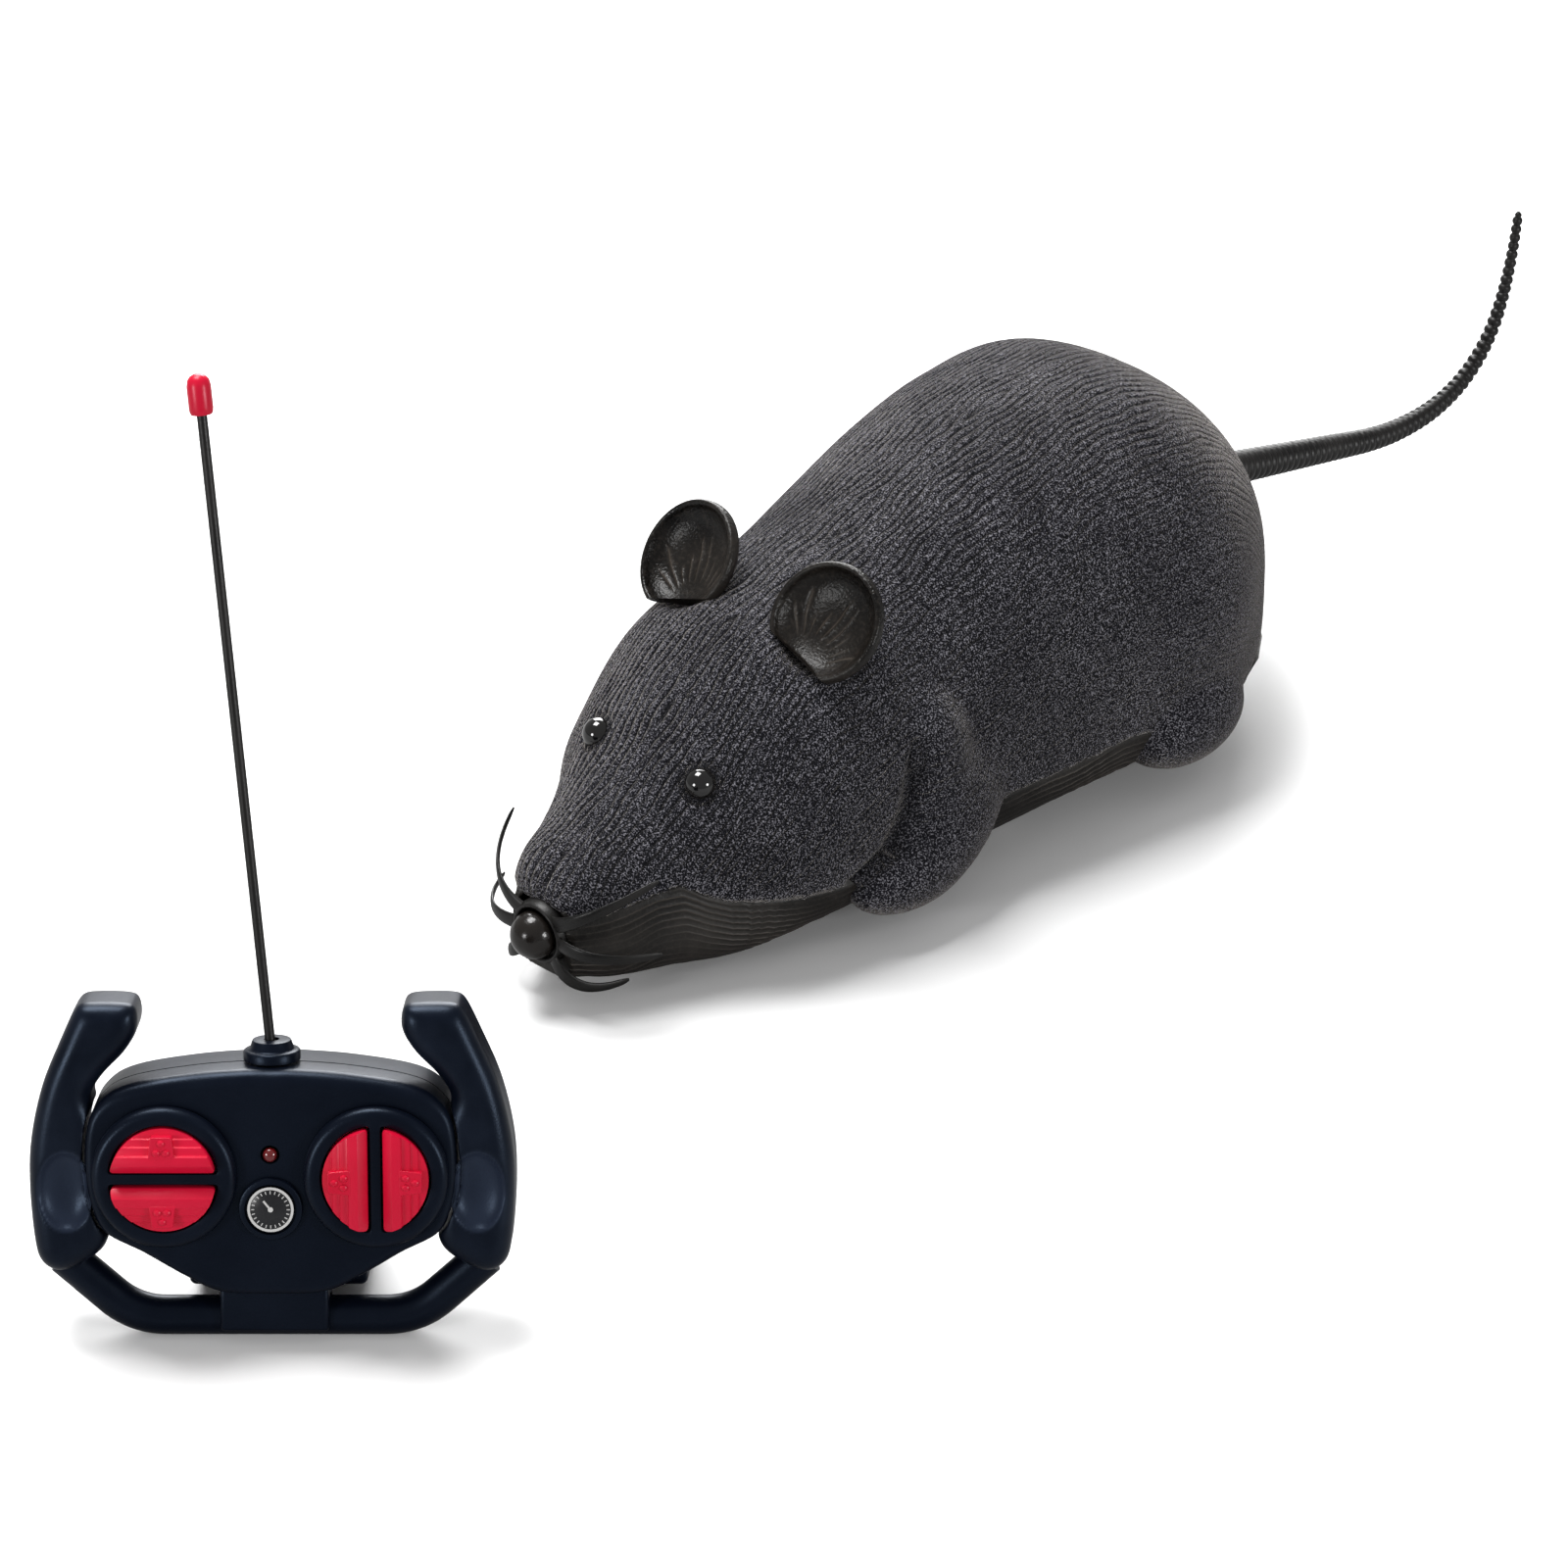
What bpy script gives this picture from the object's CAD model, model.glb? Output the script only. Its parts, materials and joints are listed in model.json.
"""Looks of the radio-controlled mouse toy and its two-pad handset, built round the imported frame.

Every length is in metres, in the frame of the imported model. The mouse's own frame has its nose
towards -Y, its left side towards +X and its origin on the floor below the middle of the body. The
handset's own frame stands upright with its face towards -Y, and is leant and turned into place.
"""

from __future__ import annotations

import json
import logging
import math
from collections.abc import Callable
from dataclasses import dataclass, field
from enum import Enum

import bmesh
import bpy
import numpy as np
from mathutils import Matrix, Vector

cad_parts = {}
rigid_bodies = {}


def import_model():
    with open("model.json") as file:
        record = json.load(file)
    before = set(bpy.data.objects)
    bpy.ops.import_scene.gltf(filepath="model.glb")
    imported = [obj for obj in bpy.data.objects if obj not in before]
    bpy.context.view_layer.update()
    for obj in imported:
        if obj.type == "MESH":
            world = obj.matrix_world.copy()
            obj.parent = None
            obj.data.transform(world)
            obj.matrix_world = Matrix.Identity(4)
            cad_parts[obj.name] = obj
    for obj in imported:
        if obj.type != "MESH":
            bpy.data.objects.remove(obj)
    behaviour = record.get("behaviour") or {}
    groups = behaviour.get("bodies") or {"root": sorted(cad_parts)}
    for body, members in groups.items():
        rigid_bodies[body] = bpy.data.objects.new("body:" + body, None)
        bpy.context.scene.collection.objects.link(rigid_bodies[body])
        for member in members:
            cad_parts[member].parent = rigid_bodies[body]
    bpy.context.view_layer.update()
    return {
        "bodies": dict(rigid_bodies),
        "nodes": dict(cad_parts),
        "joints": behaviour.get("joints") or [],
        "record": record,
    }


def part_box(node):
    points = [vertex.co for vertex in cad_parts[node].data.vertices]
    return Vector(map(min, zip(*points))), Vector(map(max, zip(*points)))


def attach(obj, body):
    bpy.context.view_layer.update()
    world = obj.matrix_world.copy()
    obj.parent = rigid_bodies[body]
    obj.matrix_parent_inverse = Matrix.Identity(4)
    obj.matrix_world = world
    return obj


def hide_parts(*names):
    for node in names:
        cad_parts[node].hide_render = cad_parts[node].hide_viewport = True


LOG = logging.getLogger("mouse_toy")
Piece = bpy.types.Object
Socket = bpy.types.NodeSocket
Array = np.ndarray
MM = 0.001
LEFT_AND_RIGHT = ((1, "left"), (-1, "right"))


# Mesh helpers


def linked(name: str, data: bpy.types.ID) -> Piece:
    """Makes an object of some data and links it to the scene.

    Args:
        name: Name of the object.
        data: Its mesh, lamp or camera.

    Returns:
        The object, at the origin.
    """
    item = bpy.data.objects.new(name, data)
    bpy.context.scene.collection.objects.link(item)
    return item


def turned(degrees: float, axis: str) -> Matrix:
    """A turn about an axis."""
    return Matrix.Rotation(math.radians(degrees), 4, axis)


def bend(start: Array, corner: Array, end: Array, share: Array) -> Array:
    """Points on the curve that leaves and reaches two ends along the lines to a corner."""
    return start * (1 - share)**2 + corner * 2 * share * (1 - share) + end * share**2


def mesh_from_arrays(name: str, points: Array, faces: list, smooth: bool = True) -> Piece:
    """Makes an object of points and faces, with its normals turned outwards.

    Args:
        name: Name of the object and its mesh.
        points: One row per vertex.
        faces: Vertex numbers of each face.
        smooth: Whether the faces are shaded smooth.

    Returns:
        The object.
    """
    mesh = bpy.data.meshes.new(name)
    mesh.from_pydata([tuple(point) for point in np.asarray(points, float)], [], faces)
    return link_mesh(name, mesh, smooth)


def link_mesh(name: str, mesh: bpy.types.Mesh, smooth: bool = True) -> Piece:
    """Links a mesh as an object, with its faces turned outwards.

    Args:
        name: Name of the object.
        mesh: The mesh.
        smooth: Whether the faces are shaded smooth.

    Returns:
        The new object.
    """
    work = bmesh.new()
    work.from_mesh(mesh)
    bmesh.ops.recalc_face_normals(work, faces=work.faces)
    if work.calc_volume(signed=True) < 0:
        bmesh.ops.reverse_faces(work, faces=work.faces)
    for face in work.faces:
        face.smooth = smooth
    work.to_mesh(mesh)
    work.free()
    return linked(name, mesh)


def finished(name: str, work: bmesh.types.BMesh) -> bpy.types.Mesh:
    """Turns a bmesh into a mesh and frees it.

    Args:
        name: Name of the mesh.
        work: The bmesh.

    Returns:
        The mesh.
    """
    mesh = bpy.data.meshes.new(name)
    work.to_mesh(mesh)
    work.free()
    return mesh


def grid_faces(rings: int, sides: int, caps: bool = True) -> list:
    """Faces of a closed skin through rings of points.

    Args:
        rings: Number of rings.
        sides: Points in each ring.
        caps: Whether the two ends are closed.

    Returns:
        Vertex numbers of each face.
    """
    faces = []
    for k in range(rings - 1):
        for j in range(sides):
            one, two = k * sides + j, k * sides + (j + 1) % sides
            faces.append((one, two, two + sides, one + sides))
    if caps:
        faces.append(tuple(range(sides)))
        faces.append(tuple(reversed(range((rings - 1) * sides, rings * sides))))
    return faces


def turned_mesh(name: str, profile: list, matrix: Matrix, steps: int = 64) -> Piece:
    """A piece turned about Z from a profile that starts and ends on the axis.

    Args:
        name: Name of the piece.
        profile: Pairs of radius and height.
        matrix: Where the piece's own frame lies.
        steps: Points round the axis.

    Returns:
        The new object.
    """
    work = bmesh.new()
    rows = []
    for radius, height in profile:
        if radius <= 0:
            rows.append([work.verts.new(matrix @ Vector((0, 0, height)))])
            continue
        rows.append([work.verts.new(matrix @ Vector((
            radius * math.cos(2 * math.pi * j / steps), radius * math.sin(2 * math.pi * j / steps), height)))
            for j in range(steps)])
    for one, two in zip(rows, rows[1:]):
        for j in range(steps):
            i = (j + 1) % steps
            corners = []
            for vertex in (one[j % len(one)], one[i % len(one)], two[i % len(two)], two[j % len(two)]):
                if vertex not in corners:
                    corners.append(vertex)
            if len(corners) > 2:
                work.faces.new(corners)
    if len(rows[0]) > 1 and len(rows[-1]) > 1:
        for j in range(steps):
            i = (j + 1) % steps
            work.faces.new((rows[-1][j], rows[-1][i], rows[0][i], rows[0][j]))
    return link_mesh(name, finished(name, work))


def ball_profile(radius: float, last: int, steps: int = 24) -> list:
    """The profile of a ball from its top to one of its half turn's steps."""
    turns = [math.pi * k / steps for k in range(1, last)]
    return [(0, radius), *[(radius * math.sin(a), radius * math.cos(a)) for a in turns]]


def box_object(name: str, low: Vector, high: Vector, matrix: Matrix = Matrix.Identity(4)) -> Piece:
    """A box between two corners of a frame.

    Args:
        name: Name of the object.
        low: Lowest corner.
        high: Highest corner.
        matrix: The frame.

    Returns:
        The new object.
    """
    work = bmesh.new()
    low, high = Vector(low), Vector(high)
    bmesh.ops.create_cube(work, size=1.0)
    work.transform(matrix @ Matrix.Translation((low + high) / 2) @ Matrix.Diagonal((*(high - low), 1.0)))
    return link_mesh(name, finished(name, work), False)


def made_plain(item: Piece) -> Piece:
    """Applies an object's modifiers by keeping its evaluated mesh.

    Args:
        item: The object.

    Returns:
        The same object, without modifiers.
    """
    bpy.context.view_layer.update()
    graph = bpy.context.evaluated_depsgraph_get()
    mesh = bpy.data.meshes.new_from_object(
        item.evaluated_get(graph), preserve_all_data_layers=True, depsgraph=graph)
    item.modifiers.clear()
    item.data = mesh
    mesh.name = item.name
    return item


def voxel_skin(item: Piece, size: float) -> Piece:
    """Gives an object one even skin.

    Args:
        item: The object, which may be several closed meshes that cross.
        size: Size of a voxel.

    Returns:
        The same object.
    """
    remesh = item.modifiers.new("even_skin", "REMESH")
    remesh.mode = "VOXEL"
    remesh.voxel_size = size
    remesh.use_smooth_shade = True
    return made_plain(item)


def remove(*items: Piece) -> None:
    """Removes helper objects."""
    for item in items:
        bpy.data.objects.remove(item, do_unlink=True)


def cut_away(item: Piece, *cutters: Piece, operation: str = "DIFFERENCE",
             solver: str = "EXACT") -> Piece:
    """Cuts an object with others, which are then removed.

    Args:
        item: The object that is cut.
        cutters: The objects that cut it.
        operation: The Boolean's kind.
        solver: The Boolean's solver.

    Returns:
        The cut object.
    """
    for cutter in cutters:
        modifier = item.modifiers.new("cut", "BOOLEAN")
        modifier.operation = operation
        modifier.solver = solver
        modifier.object = cutter
        made_plain(item)
        remove(cutter)
    return item


def rounded(item: Piece, width: float, segments: int = 3, angle: float = 35.0) -> Piece:
    """Rounds the sharp edges of an object and keeps the result.

    Args:
        item: The object.
        width: Width of the rounding.
        segments: Steps of the rounding.
        angle: Edges sharper than this many degrees are rounded.

    Returns:
        The same object.
    """
    bevel = item.modifiers.new("rounding", "BEVEL")
    bevel.width = width
    bevel.segments = segments
    bevel.limit_method = "ANGLE"
    bevel.angle_limit = math.radians(angle)
    return made_plain(item)


def smooth_line(knots: Array, steps: int, closed: bool = False) -> Array:
    """A smooth line through knots.

    Args:
        knots: One row per knot.
        steps: Points for each span.
        closed: Whether the line closes on itself.

    Returns:
        One row per point.
    """
    count = len(knots)
    spans = count if closed else count - 1
    found = []
    for k in range(spans):
        if closed:
            a, b, c, d = (knots[(k + j) % count] for j in (-1, 0, 1, 2))
        else:
            a, b, c, d = (knots[min(max(k + j, 0), count - 1)] for j in (-1, 0, 1, 2))
        for s in np.arange(steps) / steps:
            found.append(0.5 * (2 * b + (c - a) * s + (2 * a - 5 * b + 4 * c - d) * s**2
                                + (3 * b - a - 3 * c + d) * s**3))
    if not closed:
        found.append(knots[-1])
    return np.array(found)


def outline_normals(outline: Array) -> Array:
    """Outward directions at the points of a closed outline.

    Args:
        outline: Points of the outline.

    Returns:
        One direction per point.
    """
    run = np.roll(outline, -1, axis=0) - np.roll(outline, 1, axis=0)
    run /= np.linalg.norm(run, axis=1, keepdims=True) + 1e-12
    out = np.stack([run[:, 1], -run[:, 0]], -1)
    after = np.roll(outline, -1, axis=0)
    area = np.sum(outline[:, 0] * after[:, 1] - after[:, 0] * outline[:, 1])
    return out if area > 0 else -out


def corner_rounded(outline: Array, radius: float, steps: int = 5) -> Array:
    """An outline with its corners rounded.

    Args:
        outline: The corners.
        radius: How far from each corner the rounding starts.
        steps: Points of each rounding.

    Returns:
        One row per point.
    """
    found = []
    for k, here in enumerate(outline):
        before, after = outline[k - 1], outline[(k + 1) % len(outline)]
        start = here + (before - here) / np.linalg.norm(before - here) * radius
        end = here + (after - here) / np.linalg.norm(after - here) * radius
        for s in np.linspace(0, 1, steps):
            found.append(bend(start, here, end, s))
    return np.array(found)


def ridge(strand: Array, sharpness: float) -> Array:
    """Height from 0 to 1 of ridges that stand where the strand value is whole."""
    return (1 - np.abs(np.sin(np.pi * strand)))**sharpness


def in_frame(points: Array, matrix: Matrix) -> Array:
    """Moves points from a frame to the world."""
    return np.asarray(points, float) @ np.array(matrix.to_3x3()).T + np.array(matrix.translation)


def slab(name: str, outline: Array, near: float, far: float, edges: tuple,
         matrix: Matrix) -> Piece:
    """An upright slab with quarter-round edges.

    Args:
        name: Name of the object.
        outline: Points across and up.
        near: Depth of its front.
        far: Depth of its back.
        edges: Radius of the front edge and of the back edge, each one value or one for each point.
        matrix: The frame, whose Y runs from front to back.

    Returns:
        The object.
    """
    out = outline_normals(outline)
    rows = []

    def ring(inset: object, depth: object) -> None:
        """Adds a ring, drawn in by a length, at a depth."""
        spots = outline - out * np.broadcast_to(np.asarray(inset, float), (len(outline),))[:, None]
        deep = np.broadcast_to(np.asarray(depth, float), (len(outline),))
        rows.append(np.column_stack([spots[:, 0], deep, spots[:, 1]]))

    front, back = (np.asarray(edge, float) for edge in edges)
    turns = np.linspace(0, np.pi / 2, 7)
    if front.max() > 0:
        ring(front * 1.15, near)
        for a in turns:
            ring(front * (1 - np.sin(a)), near + front * (1 - np.cos(a)))
    else:
        ring(0.0, near)
    if back.max() > 0:
        for a in turns[::-1]:
            ring(back * (1 - np.sin(a)), far - back * (1 - np.cos(a)))
        ring(back * 1.15, far)
    else:
        ring(0.0, far)
    return mesh_from_arrays(name, in_frame(np.concatenate(rows), matrix), grid_faces(len(rows), len(outline)))


def joined(name: str, *items: Piece) -> Piece:
    """Puts several meshes into one object and removes their own.

    Args:
        name: Name of the whole.
        items: The meshes.

    Returns:
        The whole.
    """
    work = bmesh.new()
    for item in items:
        work.from_mesh(item.data)
    remove(*items)
    for face in work.faces:
        face.material_index = 0
    return linked(name, finished(name, work))


def creased(item: Piece, degrees: float, frame: Matrix = Matrix.Identity(4)) -> Piece:
    """Shades an object smooth but for its sharp edges and its flat faces along a frame's axes.

    Args:
        item: The object.
        degrees: Edges sharper than this are kept sharp.
        frame: The frame whose axes its flat faces follow.

    Returns:
        The same object.
    """
    axes = frame.to_3x3().transposed()
    for polygon in item.data.polygons:
        along = max(abs(value) for value in axes @ polygon.normal)
        polygon.use_smooth = len(polygon.vertices) < 9 and along < 0.99985
    item.data.set_sharp_from_angle(angle=math.radians(degrees))
    return item


def read_points(item: Piece) -> Array:
    """The points of an object's mesh, one row each.

    Args:
        item: The object.

    Returns:
        One row per point.
    """
    values = np.empty(len(item.data.vertices) * 3)
    item.data.vertices.foreach_get("co", values)
    return values.reshape(-1, 3)


def write_points(item: Piece, points: Array) -> None:
    """Moves the points of an object's mesh."""
    item.data.vertices.foreach_set("co", np.asarray(points, np.float32).ravel())
    item.data.update()


def write_lines(item: Piece, strand: Array, strength: Array) -> None:
    """Stores on each point the values from which the finishes draw their lines.

    Args:
        item: The object.
        strand: Whole where a line runs.
        strength: How strong the line is there, from 0 to 1.
    """
    for label, values in (("strand", strand), ("strength", strength)):
        made = item.data.attributes.new(label, "FLOAT", "POINT")
        made.data.foreach_set("value", np.asarray(values, np.float32))


def settled(p: Array, gap: Callable, rounds: int, step: float, limit: float) -> Array:
    """Moves points onto a form along its slope.

    Args:
        p: Points near the form.
        gap: Gives the distances of points outside the form.
        rounds: How often they are moved.
        step: Distance over which the slope is measured.
        limit: The farthest move of one round.

    Returns:
        The moved points.
    """
    for _ in range(rounds):
        slope = np.stack([(gap(p + shift) - gap(p - shift)) / (2 * step) for shift in np.eye(3) * step], -1)
        size = np.sum(slope**2, axis=1, keepdims=True)
        move = -gap(p)[:, None] * slope / np.maximum(size, 0.05)
        reach = np.linalg.norm(move, axis=1, keepdims=True)
        p = p + move * np.minimum(1.0, limit / np.maximum(reach, 1e-9))
    return p


# Node trees


class TreeWriter:
    """Adds nodes to a tree and feeds their inputs."""

    def __init__(self, tree: bpy.types.NodeTree) -> None:
        """Keeps the tree."""
        self.tree = tree

    def node(self, kind: str, values: dict | None = None, **settings: object) -> bpy.types.Node:
        """Adds a node.

        Args:
            kind: The node's type name.
            values: Input values or linked sockets, by input name or number.
            settings: Attributes of the node.

        Returns:
            The node.
        """
        made = self.tree.nodes.new(kind)
        for key, value in settings.items():
            setattr(made, key, value)
        for key, value in (values or {}).items():
            self.feed(made.inputs[key], value)
        return made

    def feed(self, socket: Socket, value: object) -> None:
        """Links a socket to an output, or sets its value.

        Args:
            socket: The input.
            value: An output or a value.
        """
        if isinstance(value, Socket):
            self.tree.links.new(value, socket)
        else:
            socket.default_value = value

    def maths(self, operation: str, *values: object) -> Socket:
        """One step of arithmetic on up to three values."""
        return self.node("ShaderNodeMath", dict(enumerate(values)), operation=operation).outputs[0]

    def lines(self, sharpness: object) -> Socket:
        """Thin lines where the mesh's strand value is whole, as strong as its strength says.

        Args:
            sharpness: Power that thins the lines.

        Returns:
            The level of the lines.
        """
        turn = self.maths("MULTIPLY", self.attribute("strand"), math.pi)
        wave = self.maths("ABSOLUTE", self.maths("SINE", turn))
        thin = self.maths("POWER", self.maths("SUBTRACT", 1.0, wave), sharpness)
        return self.maths("MULTIPLY", thin, self.attribute("strength"))


class Shader(TreeWriter):
    """A small writer of material node trees."""

    def __init__(self, name: str) -> None:
        """Starts a material with one Principled shader."""
        self.material = bpy.data.materials.new(name)
        self.material.use_nodes = True
        super().__init__(self.material.node_tree)
        self.shader = self.tree.nodes["Principled BSDF"]

    def base(self, **values: object) -> None:
        """Sets or links inputs of the Principled shader, with underscores for spaces."""
        for key, value in values.items():
            self.feed(self.shader.inputs[key.replace("_", " ")], value)

    def place(self) -> Socket:
        """Object coordinates."""
        return self.node("ShaderNodeTexCoord").outputs["Object"]

    def attribute(self, name: str) -> Socket:
        """A value that the mesh carries."""
        return self.node("ShaderNodeAttribute", attribute_name=name).outputs["Fac"]

    def noise(self, grain: float, detail: float = 2.0) -> Socket:
        """Noise on Object coordinates, with grains of a given size."""
        return self.node("ShaderNodeTexNoise", {
            "Vector": self.place(), "Scale": 1 / grain, "Detail": detail}).outputs["Fac"]

    def ramp(self, value: Socket, low: float, high: float, start: float = 0.0,
             end: float = 1.0) -> Socket:
        """Maps a range of values to another."""
        return self.node("ShaderNodeMapRange", {0: value, 1: low, 2: high, 3: start, 4: end}).outputs[0]

    def mix(self, factor: object, one: tuple, two: tuple) -> Socket:
        """Mixes two colours or colour outputs.

        Args:
            factor: Share of the second.
            one: The first colour.
            two: The second colour.

        Returns:
            The mixed colour.
        """
        made = self.node("ShaderNodeMix", data_type="RGBA")
        self.feed(made.inputs[0], factor)
        self.feed(made.inputs[6], one)
        self.feed(made.inputs[7], two)
        return made.outputs[2]

    def bump(self, height: Socket, depth: float, strength: float = 1.0,
             normal: Socket | None = None) -> Socket:
        """A bump of a given depth.

        Args:
            height: The height from 0 to 1.
            depth: Depth of the relief.
            strength: Strength of the effect.
            normal: A bump to add to.

        Returns:
            The bent normal.
        """
        made = self.node("ShaderNodeBump", {"Height": height, "Distance": depth, "Strength": strength})
        if normal is not None:
            self.feed(made.inputs["Normal"], normal)
        return made.outputs["Normal"]


def colour(red: float, green: float, blue: float) -> tuple:
    """A colour with full alpha."""
    return (red, green, blue, 1.0)


@dataclass(frozen=True)
class FlockFinish:
    """Short dark flock: fine specks, dark grooves, and a soft light rim where it is seen along its fibres."""

    name: str = "charcoal_flock"
    deep: tuple = colour(0.0035, 0.0035, 0.0046)
    mid: tuple = colour(0.0080, 0.0082, 0.0126)
    fleck: tuple = colour(0.274, 0.268, 0.300)
    grain: float = 0.00021
    patch: float = 0.011
    sheen: float = 0.56
    sheen_roughness: float = 0.20
    sheen_tint: tuple = colour(0.92, 0.85, 0.78)

    def make(self) -> bpy.types.Material:
        """Builds the material."""
        ink = Shader(self.name)
        fine = ink.noise(self.grain, 1.0)
        coarse = ink.noise(self.patch, 2.0)
        groove = ink.maths("MINIMUM", ink.maths("MULTIPLY", ink.lines(1.5), 1.5), 1.0)
        dark = ink.maths("MAXIMUM", groove, ink.attribute("crease"))
        level = ink.maths("MULTIPLY", ink.ramp(fine, 0.52, 0.66), ink.ramp(coarse, 0.3, 0.7, 0.65, 1.0))
        base = ink.mix(ink.ramp(fine, 0.30, 0.55), self.deep, self.mid)
        lit = ink.mix(level, base, self.fleck)
        shade = ink.mix(ink.maths("MULTIPLY", dark, 0.93), lit, self.deep)
        ink.base(Base_Color=shade, Roughness=0.95, Specular_IOR_Level=0.15, Sheen_Weight=self.sheen,
                 Sheen_Roughness=self.sheen_roughness, Sheen_Tint=self.sheen_tint)
        pressed = ink.bump(ink.maths("SUBTRACT", 1.0, groove), 0.00022, 1.0)
        ink.base(Normal=ink.bump(fine, 0.00030, 1.0, pressed))
        return ink.material


@dataclass(frozen=True)
class MouldedFinish:
    """Moulded plastic or rubber: slight mottling, a fine grain, worn gloss and drawn lines."""

    name: str
    tone: tuple
    worn: tuple
    roughness: float = 0.45
    spread: float = 0.12
    grain: float = 0.00035
    relief: float = 0.00002
    coat: float = 0.0
    specular: float = 0.5
    tint: tuple = colour(1.0, 1.0, 1.0)
    mottle: float = 0.0
    strokes: float = 0.0

    def make(self) -> bpy.types.Material:
        """Builds the material."""
        ink = Shader(self.name)
        fine = ink.noise(self.grain, 2.0)
        wide = ink.noise(self.grain * 30, 3.0)
        share = 0.22 if self.strokes else 1.0
        tone = ink.mix(ink.ramp(wide, 0.35, 0.75, 0.0, share), self.tone, self.worn)
        rough = ink.ramp(wide, 0.3, 0.7, self.roughness - self.spread / 2, self.roughness + self.spread / 2)
        normal = ink.bump(fine, self.relief, 0.8)
        if self.mottle:
            spots = ink.ramp(ink.noise(self.grain * 1.6, 3.0), 0.50, 0.78, 0.0, self.mottle)
            tone = ink.mix(spots, tone, self.worn)
        if self.strokes:
            line = ink.lines(self.strokes)
            tone = ink.mix(ink.ramp(line, 0.0, 1.0, 0.0, 0.9), tone, self.worn)
            normal = ink.bump(line, 0.00014, 0.8, normal)
        ink.base(Base_Color=tone, Roughness=rough, Coat_Weight=self.coat, Coat_Roughness=0.08,
                 Specular_IOR_Level=self.specular, Specular_Tint=self.tint)
        ink.base(Normal=normal)
        return ink.material


@dataclass(frozen=True)
class MetalFinish:
    """Plain or plated metal with fine turning or drawing marks."""

    name: str
    tone: tuple
    roughness: float = 0.28

    def make(self) -> bpy.types.Material:
        """Builds the material."""
        ink = Shader(self.name)
        fine = ink.noise(0.0003, 3.0)
        wide = ink.noise(0.004, 2.0)
        dull = tuple(0.8 * value for value in self.tone[:3]) + (1.0,)
        ink.base(Base_Color=ink.mix(wide, self.tone, dull), Metallic=1.0,
                 Roughness=ink.ramp(fine, 0.2, 0.8, self.roughness - 0.06, self.roughness + 0.08))
        ink.base(Normal=ink.bump(fine, 0.000008, 0.6))
        return ink.material


class Finish(Enum):
    """The finishes of the set, each with the record's slot that it belongs to."""

    FLOCK = ("flock", FlockFinish())
    BELLY = ("belly_plastic", MouldedFinish(
        "bare_belly_plastic", colour(0.0050, 0.0043, 0.0038), colour(0.105, 0.092, 0.080), 0.46, 0.16,
        0.0003, 0.00004, specular=0.30, mottle=0.12, strokes=3.6))
    EAR = ("gloss_black", MouldedFinish(
        "worn_ear_gloss", colour(0.0018, 0.0015, 0.0013), colour(0.074, 0.061, 0.050), 0.30, 0.18,
        0.00036, 0.00012, specular=0.26, mottle=0.26, strokes=3.0))
    BEAD = ("gloss_black", MouldedFinish(
        "polished_bead", colour(0.0025, 0.0022, 0.0022), colour(0.004, 0.0035, 0.0035), 0.05, 0.03,
        0.0006, 0.000002, 0.6))
    NOSE = ("gloss_black", MouldedFinish(
        "worn_nose_gloss", colour(0.0032, 0.0026, 0.0023), colour(0.016, 0.013, 0.011), 0.17, 0.08,
        0.0004, 0.00003, specular=0.4, mottle=0.2))
    SOFT = ("soft_black", MouldedFinish(
        "soft_black_rubber", colour(0.0034, 0.0031, 0.0029), colour(0.010, 0.0088, 0.0080), 0.40, 0.14,
        0.0003, 0.00003, specular=0.36))
    NAVY = ("navy_plastic", MouldedFinish(
        "satin_navy_plastic", colour(0.0016, 0.0026, 0.0064), colour(0.0026, 0.0040, 0.0090), 0.34, 0.10,
        0.00022, 0.000022, specular=0.20, tint=colour(0.55, 0.72, 1.0)))
    RED = ("button_red", MouldedFinish(
        "crimson_button_plastic", colour(0.600, 0.0032, 0.0290), colour(0.68, 0.0055, 0.0400), 0.34, 0.08,
        0.0003, 0.000012, specular=0.40, tint=colour(1.0, 0.72, 0.80)))
    GRIP = ("navy_plastic", MouldedFinish(
        "satin_grip_plastic", colour(0.0016, 0.0026, 0.0064), colour(0.022, 0.030, 0.052), 0.34, 0.10,
        0.00022, 0.000022, specular=0.22, tint=colour(0.55, 0.72, 1.0), strokes=1.0))
    DISC = ("dial_face", MouldedFinish(
        "dial_black", colour(0.0060, 0.0065, 0.0085), colour(0.011, 0.012, 0.015), 0.30, 0.08,
        0.0003, 0.00001))
    LENS = ("lens_red", MouldedFinish(
        "dark_red_lens", colour(0.120, 0.0034, 0.0044), colour(0.17, 0.006, 0.007), 0.20, 0.04,
        0.0006, 0.000004, 0.8))
    DIAL = ("dial_face", MouldedFinish(
        "dial_print", colour(0.60, 0.60, 0.59), colour(0.70, 0.70, 0.69), 0.40, 0.08, 0.0004, 0.000004))
    STEEL = ("steel", MetalFinish("drawn_steel", colour(0.56, 0.56, 0.57), 0.30))
    NICKEL = ("nickel", MetalFinish("nickel_plate", colour(0.70, 0.67, 0.61), 0.22))
    NYLON = ("gear_nylon", MouldedFinish(
        "natural_nylon", colour(0.74, 0.72, 0.66), colour(0.82, 0.80, 0.74), 0.42, 0.08, 0.0004, 0.00001))
    BOARD = ("board_green", MouldedFinish(
        "board_mask", colour(0.010, 0.085, 0.030), colour(0.016, 0.120, 0.045), 0.34, 0.10, 0.0005, 0.00001))
    TYRE = ("rubber_grey", MouldedFinish(
        "grey_tyre_rubber", colour(0.050, 0.050, 0.052), colour(0.085, 0.085, 0.088), 0.72, 0.10,
        0.00025, 0.00004))

    @property
    def slot(self) -> str:
        """The record's material slot."""
        return self.value[0]


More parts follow.
